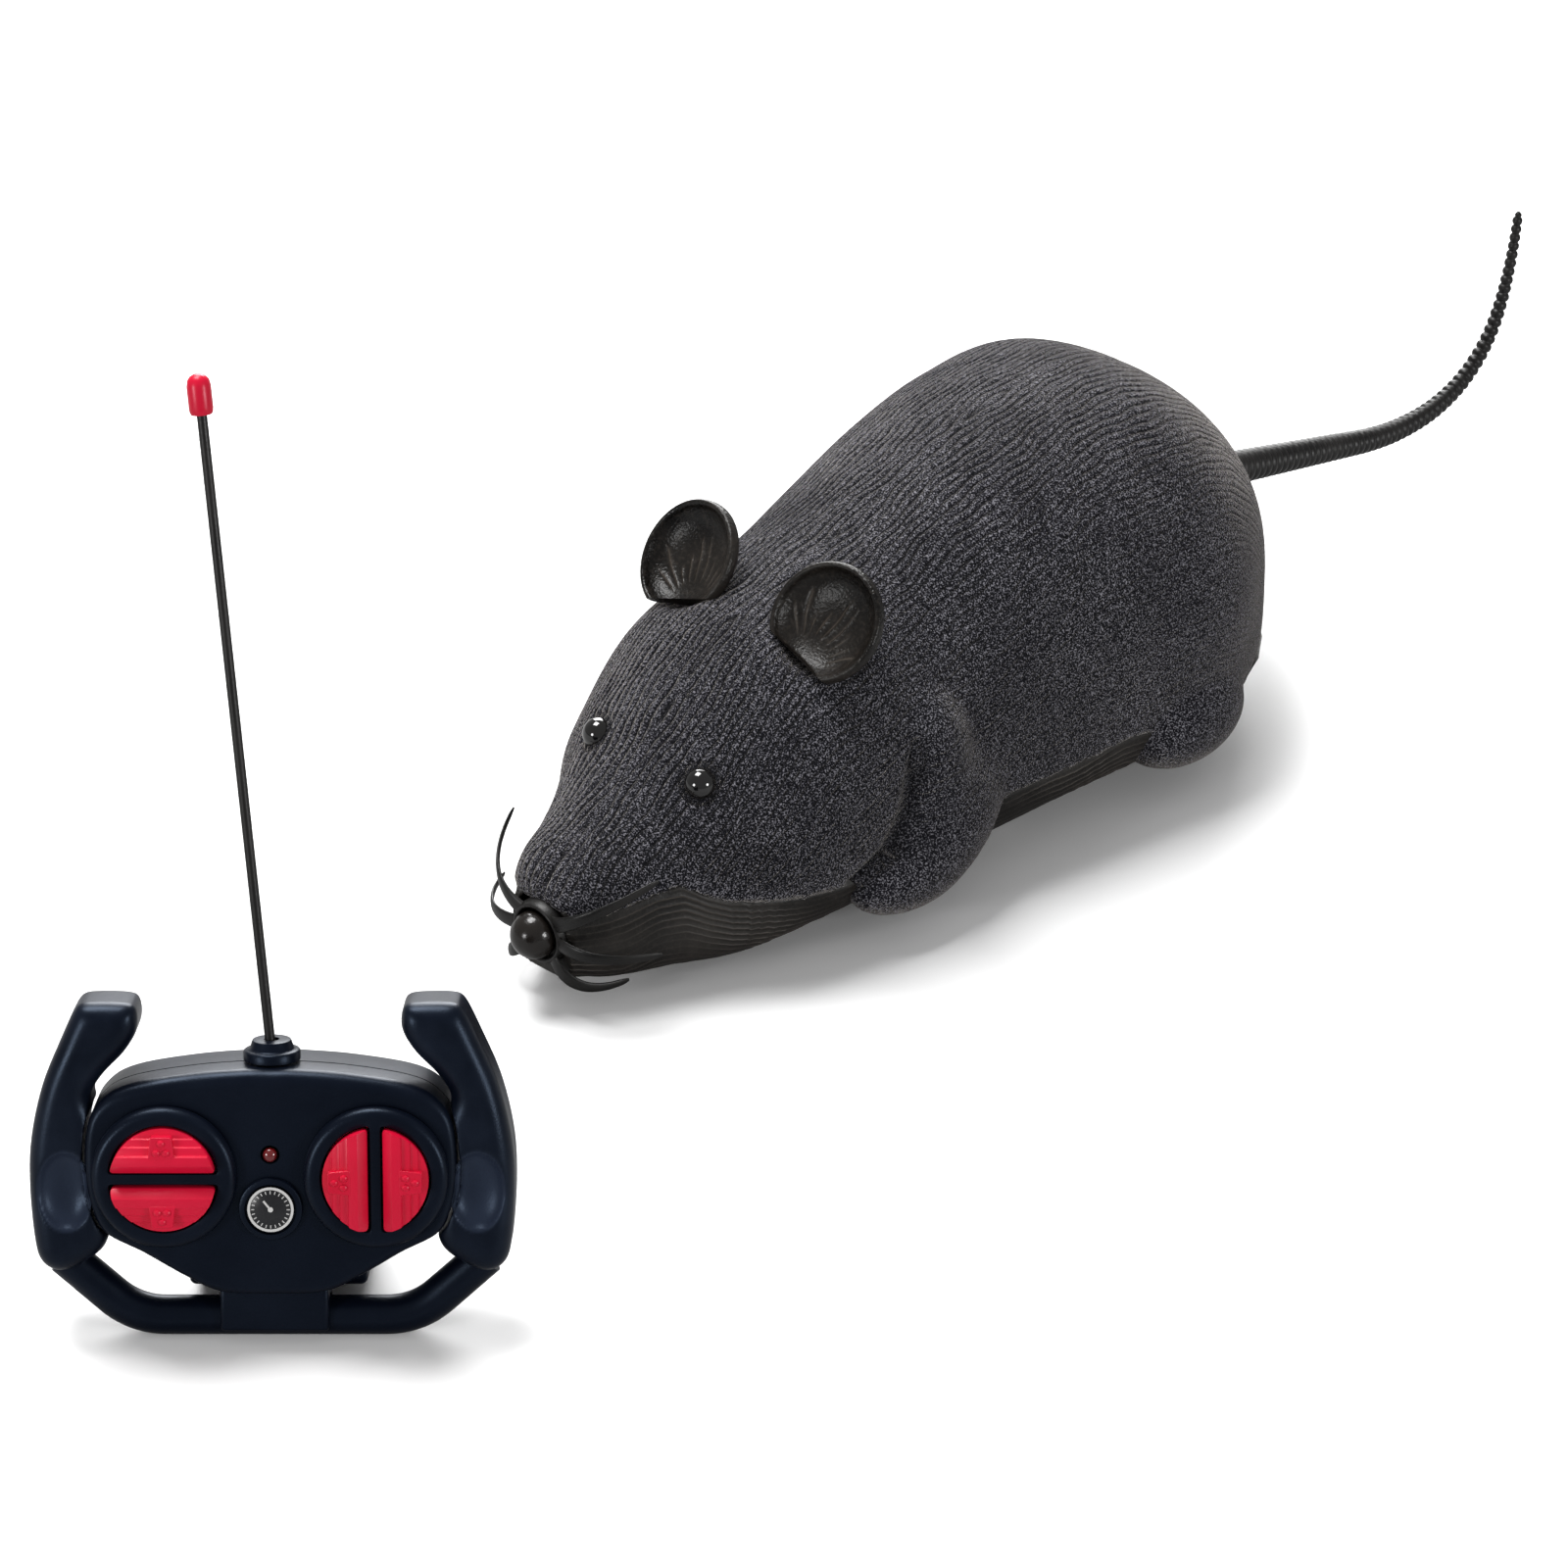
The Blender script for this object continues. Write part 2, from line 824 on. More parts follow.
class Paintbox:
    """Makes each finish once and puts it on pieces."""

    def __init__(self) -> None:
        """Builds all the materials."""
        self.materials = {finish: finish.value[1].make() for finish in Finish}

    def dress(self, item: Piece, finish: Finish) -> Piece:
        """Gives a piece one finish.

        Args:
            item: The piece.
            finish: Its finish.

        Returns:
            The piece.
        """
        item.data.materials.clear()
        item.data.materials.append(self.materials[finish])
        return item

    def dress_nodes(self, frame: dict) -> None:
        """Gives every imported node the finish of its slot.
        """
        by_slot = {finish.slot: finish for finish in reversed(Finish)}
        by_slot["dial_face"] = Finish.DIAL
        for row in frame["record"]["subparts"]:
            node = frame["nodes"][row["node"]]
            material = self.materials[by_slot[row["material_slot"]]]
            if not node.material_slots:
                node.data.materials.append(material)
            for slot in node.material_slots:
                slot.material = material


@dataclass
class Assembly:
    """What every sub-assembly shares: its finishes, its frame and the list of what it has made."""

    paints: Paintbox
    matrix: Matrix
    made: list = field(default_factory=list)

    def hand_over(self, item: Piece, finish: Finish, *stands_for: str, body: str = "root") -> Piece:
        """Dresses a piece, makes it ride on its body and hides what it stands for.

        Args:
            item: The piece, in world coordinates.
            finish: Its finish.
            stands_for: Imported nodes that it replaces.
            body: The body it moves with.

        Returns:
            The piece.
        """
        self.paints.dress(item, finish)
        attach(item, body)
        if stands_for:
            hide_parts(*stands_for)
        self.made.append(item)
        LOG.info("%s: %d faces on %s", item.name, len(item.data.polygons), body)
        return item

    def world(self, points: Array) -> Array:
        """Moves points from the assembly's own frame to the world's."""
        return in_frame(points, self.matrix)


# The mouse's form


@dataclass(frozen=True)
class Swelling:
    """A rounded swelling of the body: the same on both sides, melted in over a given depth."""

    centre: tuple
    radii: tuple
    melt: float


@dataclass(frozen=True)
class BodyForm:
    """The mouse's outer form: a loft through sections, with swellings for legs, thighs and cheeks."""

    length: float = 0.130
    width: float = 0.0552
    height: float = 0.0528
    back_power: float = 2.3
    belly_power: float = 3.6
    sole: float = 0.0036
    coat: float = 0.00025
    section_shares: tuple = (
        (0.012, 0.092, 0.302, 0.200, 0.080), (0.050, 0.149, 0.367, 0.208, 0.055),
        (0.120, 0.230, 0.468, 0.227, 0.047), (0.190, 0.329, 0.609, 0.265, 0.047),
        (0.260, 0.388, 0.734, 0.303, 0.047), (0.340, 0.409, 0.792, 0.331, 0.047),
        (0.420, 0.415, 0.832, 0.341, 0.047), (0.500, 0.440, 0.895, 0.360, 0.047),
        (0.600, 0.472, 0.964, 0.398, 0.047), (0.700, 0.498, 0.996, 0.417, 0.047),
        (0.800, 0.488, 0.970, 0.430, 0.047), (0.880, 0.388, 0.834, 0.412, 0.060),
        (0.940, 0.254, 0.655, 0.385, 0.110), (0.980, 0.138, 0.510, 0.360, 0.200),
        (1.000, 0.036, 0.415, 0.360, 0.315))
    eye_place: tuple = (0.158, 0.340)
    eye_sink: float = 0.0005
    socket_radius: float = 0.00260
    socket_melt: float = 0.0010
    ear_dip: tuple = ((0.0122, -0.0257, 0.0432), 0.0068, 0.0012)
    seam_places: tuple = (
        (-0.0650, 0.0125), (-0.0600, 0.0132), (-0.0570, 0.0139), (-0.0535, 0.0148), (-0.0507, 0.0153),
        (-0.0480, 0.0134), (-0.0454, 0.0120), (-0.0380, 0.0108), (-0.0310, 0.0103), (-0.0200, 0.0112),
        (-0.0057, 0.0125), (0.0068, 0.0124), (0.0174, 0.0128), (0.0300, 0.0120), (0.0500, 0.0112),
        (0.0650, 0.0110))
    body_swellings: tuple = (
        Swelling((0.0035, -0.0567, 0.0136), (0.0048, 0.0055, 0.0052), 0.0026),
        Swelling((0.0136, -0.0315, 0.0155), (0.0074, 0.0120, 0.0090), 0.0030),
        Swelling((0.0200, 0.0320, 0.0248), (0.0084, 0.0120, 0.0137), 0.0030))
    leg_swellings: tuple = (
        Swelling((0.0200, -0.0146, 0.0206), (0.0054, 0.0058, 0.0102), 0.0021),
        Swelling((0.0206, -0.0120, 0.0130), (0.0058, 0.0080, 0.0086), 0.0026),
        Swelling((0.0215, -0.0192, 0.0086), (0.0055, 0.0106, 0.0056), 0.0018),
        Swelling((0.0236, 0.0304, 0.0103), (0.0066, 0.0104, 0.0070), 0.0012))

    crease_routes: tuple = (
        ((0.0220, -0.0184, 0.0256), (0.0228, -0.0204, 0.0215), (0.0229, -0.0214, 0.0175),
         (0.0226, -0.0250, 0.0128), (0.0212, -0.0300, 0.0104)),)
    crease_radius: float = 0.0008
    crease_melt: float = 0.0016
    front_melt: float = 0.0022

    def section(self, y: Array) -> tuple:
        """Half width, top, widest and lowest height of the body at places along it.

        Args:
            y: Places along the body.

        Returns:
            The four arrays.
        """
        table = np.array(self.section_shares)
        knots = table[:, 0]
        t = np.clip(y / self.length + 0.5, knots[0], knots[-1])
        steps = np.diff(knots)
        k = np.clip(np.searchsorted(knots, t, side="right") - 1, 0, len(steps) - 1)
        s = (t - knots[k]) / steps[k]
        found = []
        for column, scale in ((1, self.width), (2, self.height), (3, self.height), (4, self.height)):
            values = table[:, column]
            rises = np.diff(values) / steps
            ends = np.empty_like(values)
            ends[0], ends[-1] = rises[0], rises[-1]
            ends[1:-1] = (rises[:-1] * steps[1:] + rises[1:] * steps[:-1]) / (steps[:-1] + steps[1:])
            found.append(scale * (
                (2 * s**3 - 3 * s**2 + 1) * values[k] + (s**3 - 2 * s**2 + s) * steps[k] * ends[k]
                + (3 * s**2 - 2 * s**3) * values[k + 1] + (s**3 - s**2) * steps[k] * ends[k + 1]))
        return tuple(found)

    def seam(self, y: Array) -> Array:
        """Height of the flock's lower edge along the body."""
        places = np.array(self.seam_places)
        return np.interp(y, places[:, 0], places[:, 1])

    def skin(self, y: Array, turn: Array, margin: float = 0.0) -> Array:
        """Points on the loft, without its swellings.

        Args:
            y: Places along the body.
            turn: Shares of a turn from the left side over the back.
            margin: How far outside the loft.

        Returns:
            One row per point.
        """
        half, top, widest, lowest = self.section(y)
        across, up = np.cos(2 * np.pi * turn), np.sin(2 * np.pi * turn)
        power = np.where(up >= 0, 2 / self.back_power, 2 / self.belly_power)
        x = np.sign(across) * np.abs(across)**power * (half + margin)
        rise = np.abs(up)**power
        z = widest + np.where(up >= 0, top + margin - widest, lowest - margin - widest) * rise
        return np.stack([x, y + 0 * x, z], -1)

    def loft_gap(self, p: Array) -> Array:
        """Distance outside the loft, measured from each section's middle.

        Args:
            p: Points.

        Returns:
            One distance per point.
        """
        half, top, widest, lowest = self.section(p[:, 1])
        above = p[:, 2] >= widest
        rise = np.where(above, top - widest, widest - lowest)
        power = np.where(above, self.back_power, self.belly_power)
        u, v = np.abs(p[:, 0]) / half, np.abs(p[:, 2] - widest) / rise
        ratio = (u**power + v**power + 1e-9)**(1 / power)
        reach = np.hypot(p[:, 0], p[:, 2] - widest)
        return reach - reach / np.maximum(ratio, 1e-3) - self.coat

    def swelling_gap(self, p: Array, swelling: Swelling) -> Array:
        """Distance outside a swelling or its mirror image.

        Args:
            p: Points.
            swelling: The swelling.

        Returns:
            One distance per point.
        """
        q = np.stack([np.abs(p[:, 0]), p[:, 1], p[:, 2]], -1) - np.array(swelling.centre)
        ratio = np.linalg.norm(q / np.array(swelling.radii), axis=1) + 1e-9
        reach = np.linalg.norm(q, axis=1)
        return reach - reach / np.maximum(ratio, 1e-3)

    @staticmethod
    def melted(one: Array, two: Array, melt: float) -> Array:
        """The smaller of two distances, rounded where they cross."""
        blend = np.maximum(melt - np.abs(one - two), 0) / melt
        return np.minimum(one, two) - blend**2 * melt / 4

    def gap(self, p: Array) -> Array:
        """Distance outside the flocked form: the body above its seam and the legs above their soles.

        Args:
            p: Points.

        Returns:
            One distance per point.
        """
        body = self.loft_gap(p)
        for swelling in self.body_swellings:
            body = self.melted(body, self.swelling_gap(p, swelling), swelling.melt)
        body = np.maximum(body, self.seam(p[:, 1]) - p[:, 2])
        body = np.maximum(body, p[:, 1] - self.length / 2)
        front = (self.section_shares[0][0] - 0.5) * self.length
        body = -self.melted(-body, p[:, 1] - front, self.front_melt)
        for swelling in self.leg_swellings:
            leg = np.maximum(self.swelling_gap(p, swelling), self.sole - p[:, 2])
            body = self.melted(body, leg, swelling.melt)
        q = np.stack([np.abs(p[:, 0]), p[:, 1], p[:, 2]], -1) - self.eye_centre(1)
        hollow = self.socket_radius - np.linalg.norm(q, axis=1)
        body = -self.melted(-body, -hollow, self.socket_melt)
        spot, radius, melt = self.ear_dip
        q = np.stack([np.abs(p[:, 0]), p[:, 1], p[:, 2]], -1) - np.array(spot)
        body = -self.melted(-body, np.linalg.norm(q, axis=1) - radius, melt)
        return -self.melted(-body, self.crease_distance(p) - self.crease_radius, self.crease_melt)

    def crease_distance(self, p: Array) -> Array:
        """Distance from the creases where legs and cheeks meet the body.

        Args:
            p: Points.

        Returns:
            One distance per point.
        """
        q = np.stack([np.abs(p[:, 0]), p[:, 1], p[:, 2]], -1)
        nearest = np.full(len(q), 1.0)
        for route in self.crease_routes:
            for start, end in zip(np.array(route), np.array(route)[1:]):
                run = end - start
                share = np.clip((q - start) @ run / (run @ run), 0, 1)
                nearest = np.minimum(nearest, np.linalg.norm(q - start - share[:, None] * run, axis=1))
        return nearest

    def normal(self, share: float, turn: float) -> Array:
        """The loft's outward direction at a place.

        Args:
            share: Share of the body's length.
            turn: Share of a turn from the left side over the back.

        Returns:
            A unit vector.
        """
        step = 0.001
        y = np.array([share - step, share + step, share, share]) - 0.5
        points = self.skin(y * self.length, np.array([turn, turn, turn - step, turn + step]))
        out = np.cross(points[3] - points[2], points[1] - points[0])
        middle = points.mean(axis=0) - (0.0, points[0][1], self.section(y[2:3] * self.length)[2][0])
        out = out / np.linalg.norm(out)
        return out if out @ middle > 0 else -out

    def eye_centre(self, side: int) -> Array:
        """Middle of an eye bead, sunk a little below the loft.

        Args:
            side: 1 on the left and -1 on the right.

        Returns:
            The place.
        """
        share, turn = self.eye_place
        turn = turn if side < 0 else 0.5 - turn
        spot = self.skin(np.array([(share - 0.5) * self.length]), np.array([turn]))[0]
        return spot - self.eye_sink * self.normal(share, turn)

    def spine_distance(self, p: Array) -> Array:
        """Distance round the section from the ridge of the back to each point.

        Args:
            p: Points on the form.

        Returns:
            The distances, without a sign.
        """
        ring = np.linspace(self.section_shares[0][0] - 0.5, 0.5, 120) * self.length
        turn = np.linspace(0.25, -0.25, 90)
        grid_y, grid_turn = np.meshgrid(ring, turn, indexing="ij")
        points = self.skin(grid_y, grid_turn)
        runs = np.linalg.norm(np.diff(points, axis=1), axis=2)
        length = np.concatenate([np.zeros((len(ring), 1)), np.cumsum(runs, axis=1)], axis=1)
        angle = np.arctan2(points[..., 0], points[..., 2] - self.section(grid_y)[2])
        row = np.clip((p[:, 1] - ring[0]) / (ring[1] - ring[0]), 0, len(ring) - 1.001)
        low = row.astype(int)
        widest = self.section(p[:, 1])[2]
        wanted = np.arctan2(np.abs(p[:, 0]), p[:, 2] - widest)
        found = np.empty(len(p))
        for k in range(len(ring) - 1):
            picked = low == k
            if not picked.any():
                continue
            near = np.interp(wanted[picked], angle[k], length[k])
            far = np.interp(wanted[picked], angle[k + 1], length[k + 1])
            share = row[picked] - k
            found[picked] = near * (1 - share) + far * share
        return found


# Geometry Nodes


class NodeTree(TreeWriter):
    """A small writer of Geometry Nodes trees with named inputs."""

    def __init__(self, name: str, inputs: dict) -> None:
        """Starts a tree with a geometry input and output.

        Args:
            name: Name of the tree.
            inputs: Socket type and value of each further input, by name.
        """
        super().__init__(bpy.data.node_groups.new(name, "GeometryNodeTree"))
        face = self.tree.interface
        face.new_socket("Geometry", in_out="INPUT", socket_type="NodeSocketGeometry")
        face.new_socket("Geometry", in_out="OUTPUT", socket_type="NodeSocketGeometry")
        self.ids = {}
        self.values = {}
        for label, (kind, value) in inputs.items():
            socket = face.new_socket(label, in_out="INPUT", socket_type=kind)
            self.ids[label] = socket.identifier
            self.values[label] = value
        self.start = self.tree.nodes.new("NodeGroupInput")
        self.end = self.tree.nodes.new("NodeGroupOutput")

    def input(self, label: str) -> Socket:
        """One of the tree's inputs."""
        return self.start.outputs[label]

    def attribute(self, name: str) -> Socket:
        """A number that the mesh carries."""
        made = self.node("GeometryNodeInputNamedAttribute", {"Name": name}, data_type="FLOAT")
        return made.outputs["Attribute"]

    def close(self, geometry: Socket) -> None:
        """Ends the tree in Realize Instances and Set Material."""
        real = self.node("GeometryNodeRealizeInstances", {"Geometry": geometry}).outputs[0]
        dressed = self.node("GeometryNodeSetMaterial", {
            "Geometry": real, "Material": self.input("Material")}).outputs[0]
        self.tree.links.new(dressed, self.end.inputs[0])

    def run(self, item: Piece) -> Piece:
        """Runs the tree on an object and keeps the result as its mesh.

        Args:
            item: The object.

        Returns:
            The same object, as a plain mesh.
        """
        modifier = item.modifiers.new(self.tree.name, "NODES")
        modifier.node_group = self.tree
        for label, value in self.values.items():
            modifier[self.ids[label]] = value
        return made_plain(item)


@dataclass
class Coat:
    """The sculpted, flocked coat of the mouse: ridges that follow the back from nose to rump."""

    form: BodyForm
    paints: Paintbox
    pitch: float = 0.00115
    depth: float = 0.00022
    sharpness: float = 1.2
    eye_ring: float = 0.0005

    def wander(self, y: Array, s: Array) -> Array:
        """How far the ridges stray sideways, in metres.

        Args:
            y: Places along the body.
            s: Distances from the ridge of the back.

        Returns:
            One length per point.
        """
        y, s = y / MM, s / MM
        return MM * (0.44 * np.sin(0.23 * y + 0.17 * s) + 0.22 * np.sin(0.51 * y - 0.43 * s + 1.7)
                     + 0.12 * np.sin(1.13 * y + 0.67 * s + 0.6))

    def strength(self, p: Array, s: Array) -> Array:
        """How deep the grooves are at each point, from 0 to 1.

        Args:
            p: Points of the coat.
            s: Their distances from the ridge of the back.

        Returns:
            One value per point.
        """
        y, z = p[:, 1], p[:, 2]
        back = np.clip(1.20 - s / 0.046, 0.34, 1.0)
        head = np.clip((-0.030 - y) / 0.012, 0.0, 1.0)
        level = np.maximum(back, 0.85 * head)
        near_seam = np.clip((z - self.form.seam(y) - 0.001) / 0.003, 0.0, 1.0)
        y, s = y / MM, s / MM
        patchy = 0.72 + 0.28 * np.sin(0.37 * y + 1.1 * s) * np.sin(0.21 * y - 0.6 * s + 2.0)
        return level * near_seam * patchy

    def tree(self) -> NodeTree:
        """The tree that presses the grooves into the coat along its normals."""
        made = NodeTree("pressed_ridges", {
            "Depth": ("NodeSocketFloat", self.depth),
            "Sharpness": ("NodeSocketFloat", self.sharpness),
            "Material": ("NodeSocketMaterial", self.paints.materials[Finish.FLOCK])})
        level = made.lines(made.input("Sharpness"))
        drop = made.maths("MULTIPLY", made.maths("MULTIPLY", level, made.input("Depth")), -1.0)
        push = made.node("ShaderNodeVectorMath", {
            0: made.node("GeometryNodeInputNormal").outputs[0]}, operation="SCALE")
        made.tree.links.new(drop, push.inputs["Scale"])
        moved = made.node("GeometryNodeSetPosition", {
            "Geometry": made.input("Geometry"), "Offset": push.outputs[0]})
        made.close(moved.outputs[0])
        return made

    def press(self, item: Piece, p: Array) -> Piece:
        """Writes each point's strand and strength, and runs the tree.

        Args:
            item: The coat's smooth mesh.
            p: Its points in the mouse's own frame.

        Returns:
            The same object, with its ridges.
        """
        s = self.form.spine_distance(p)
        strand = (s + self.wander(p[:, 1], s)) / self.pitch
        crease = 0.95 * np.clip(1.1 - self.form.crease_distance(p) / 0.0026, 0, 1)**1.5
        eye = np.linalg.norm(np.abs(p) * (1, 0, 0) + p * (0, 1, 1) - self.form.eye_centre(1), axis=1)
        ring = (self.form.socket_radius + self.eye_ring - eye) / self.eye_ring
        crease = np.maximum(crease, 0.85 * np.clip(ring, 0, 1))
        write_lines(item, strand, self.strength(p, s))
        creases = item.data.attributes.new("crease", "FLOAT", "POINT")
        creases.data.foreach_set("value", crease.astype(np.float32))
        return self.tree().run(item)


@dataclass
class MouseBody(Assembly):
    """The flocked shell with its legs, and the bare skin of the jaw and belly."""

    form: BodyForm = field(default_factory=BodyForm)
    voxel: float = 0.00047
    settle_rounds: int = 5
    settle_step: float = 0.00004
    settle_limit: float = 0.0006
    wall: float = 0.0018
    band_overlap: float = 0.0016
    band_margin: float = 0.00012
    band_foot: float = 0.0004
    strokes: int = 17
    stroke_depth: float = 0.00022
    chin_end: float = -0.0590
    chin_fade: float = 0.0060
    chin_place: float = -0.0460
    chin_reach: float = 0.0085
    chin_depth: float = 0.0013

    def rough_solid(self) -> Piece:
        """The body above its seam and the legs, as closed meshes that cross."""
        form, sides, rings = self.form, 96, 120
        turn = np.arange(sides) / sides
        first = form.section_shares[0][0] - 0.5
        places = np.linspace(first, 0.4999, rings) * form.length
        rows = []
        for y in places:
            ring = form.skin(np.full(sides, y), turn)
            ring[:, 2] = np.maximum(ring[:, 2], form.seam(ring[:, 1]))
            rows.append(ring)
        points, faces = [np.concatenate(rows)], grid_faces(rings, sides)
        start = len(points[0])
        for swelling in (*form.body_swellings, *form.leg_swellings):
            for side in (1, -1):
                around, levels = 32, 18
                lat = np.linspace(0.02, 0.98, levels) * np.pi
                lon = np.arange(around) / around * 2 * np.pi
                a, b = np.meshgrid(lat, lon, indexing="ij")
                ball = np.stack([np.sin(a) * np.cos(b), np.sin(a) * np.sin(b), np.cos(a)], -1).reshape(-1, 3)
                ball = ball * np.array(swelling.radii) + np.array(swelling.centre) * (side, 1, 1)
                floor = form.sole if swelling in form.leg_swellings else form.seam(ball[:, 1])
                ball[:, 2] = np.maximum(ball[:, 2], floor)
                points.append(ball)
                faces += [tuple(start + k for k in face) for face in grid_faces(levels, around)]
                start += len(ball)
        item = mesh_from_arrays("body_shell_coat", np.concatenate(points), faces)
        return voxel_skin(item, self.voxel)

    def cavity(self) -> Piece:
        """The hollow of the shell."""
        form, sides, rings = self.form, 40, 36
        turn = np.arange(sides) / sides
        rows = [form.skin(np.full(sides, y), turn, -self.wall)
                for y in np.linspace(0.10 - 0.5, 0.975 - 0.5, rings) * form.length]
        return mesh_from_arrays("shell_hollow", self.world(np.concatenate(rows)), grid_faces(rings, sides))

    def build_shell(self) -> Piece:
        """The flocked shell, with its pressed ridges and its legs."""
        item = self.rough_solid()
        p = settled(read_points(item), self.form.gap, self.settle_rounds, self.settle_step, self.settle_limit)
        write_points(item, p)
        Coat(self.form, self.paints).press(item, p)
        write_points(item, self.world(read_points(item)))
        cut_away(item, self.cavity(), solver="MANIFOLD")
        for polygon in item.data.polygons:
            polygon.use_smooth = True
        return self.hand_over(item, Finish.FLOCK, "body_shell")

    def band_line(self, y: float, count: int) -> Array:
        """One upright line of the bare skin on the left side, from its lower to its upper edge.

        Args:
            y: Place along the body.
            count: Points on the line.

        Returns:
            One row per point.
        """
        form = self.form
        line = form.skin(np.full(420, y), np.linspace(-0.25, 0.16, 420))
        low = line[0, 2]
        side = float(np.interp(low + self.band_foot, line[:140, 2], line[:140, 0]))
        away = np.clip((y - self.chin_end) / self.chin_fade, 0.0, 1.0)
        inner = side * away * away * (3 - 2 * away)
        top = float(form.seam(y)) + self.band_overlap
        kept = line[(line[:, 2] <= top) & ((line[:, 0] >= inner) | (line[:, 2] > low + 0.002))]
        runs = np.concatenate([[0], np.cumsum(np.linalg.norm(np.diff(kept, axis=0), axis=1))])
        share = np.linspace(0, runs[-1], count)
        found = np.stack([np.interp(share, runs, kept[:, k]) for k in range(3)], -1)
        if away <= 0:
            found[0, 0] = 0.0
        return found

    def build_band(self) -> Piece:
        """The bare jaw and the strips below the flock, with their long engraved strokes."""
        form, rings, count = self.form, 300, 56
        places = np.linspace(form.section_shares[0][0] - 0.4999, 0.471, rings) * form.length
        share = np.linspace(0, 1, count)
        columns, ridges = [], []
        for y in places:
            line = self.band_line(y, count)
            middle = np.array([0.0, y, form.section(np.array([y]))[2][0]])
            away = (line - middle) * (1.0, 0.0, 1.0)
            away /= np.linalg.norm(away, axis=1, keepdims=True) + 1e-9
            along = y / MM
            wander = 0.42 * np.sin(0.17 * along + 2.1 * share) + 0.22 * np.sin(0.43 * along - 3.0 * share)
            strand = share * self.strokes + wander
            stroke = ridge(strand, 1.4)
            below = (1 - share) * np.linalg.norm(np.diff(line, axis=0), axis=1).sum() - self.band_overlap
            fade = np.clip(share * 9 - 0.6, 0, 1) * np.clip(below / 0.0008, 0, 1)
            strength = fade * np.clip(0.62 + 0.5 * np.sin(0.21 * along + 7.0 * share), 0.1, 1.0)
            chin = math.exp(-((y - self.chin_place) / self.chin_reach)**2) * np.sin(np.pi * share**0.6)**2
            lift = self.band_margin + self.stroke_depth * stroke * strength
            lift = lift + self.chin_depth * chin * np.clip(below / 0.0010, 0, 1)
            lift = lift - 0.0006 * np.clip(-below / 0.0006, 0, 1)
            lift = lift - 0.0004 * np.clip(1 - share * 14, 0, 1) * float(y > self.chin_end)
            outer, inner = line + away * lift[:, None], line - away * 0.0009
            columns.append(np.concatenate([outer, inner[::-1]]))
            ridges.append(np.concatenate([
                np.stack([strand, strength], -1), np.stack([strand, strength * 0], -1)[::-1]]))
        left = np.concatenate(columns)
        faces = grid_faces(rings, 2 * count)
        start = len(left)
        faces += [tuple(start + k for k in reversed(face)) for face in faces]
        points = np.concatenate([left, left * (-1, 1, 1)])
        item = mesh_from_arrays("jaw_and_belly_skin", self.world(points), faces)
        write_lines(item, *np.concatenate(ridges * 2).T)
        return self.hand_over(item, Finish.BELLY)

    def build(self) -> None:
        """Builds both skins."""
        self.build_shell()
        self.build_band()


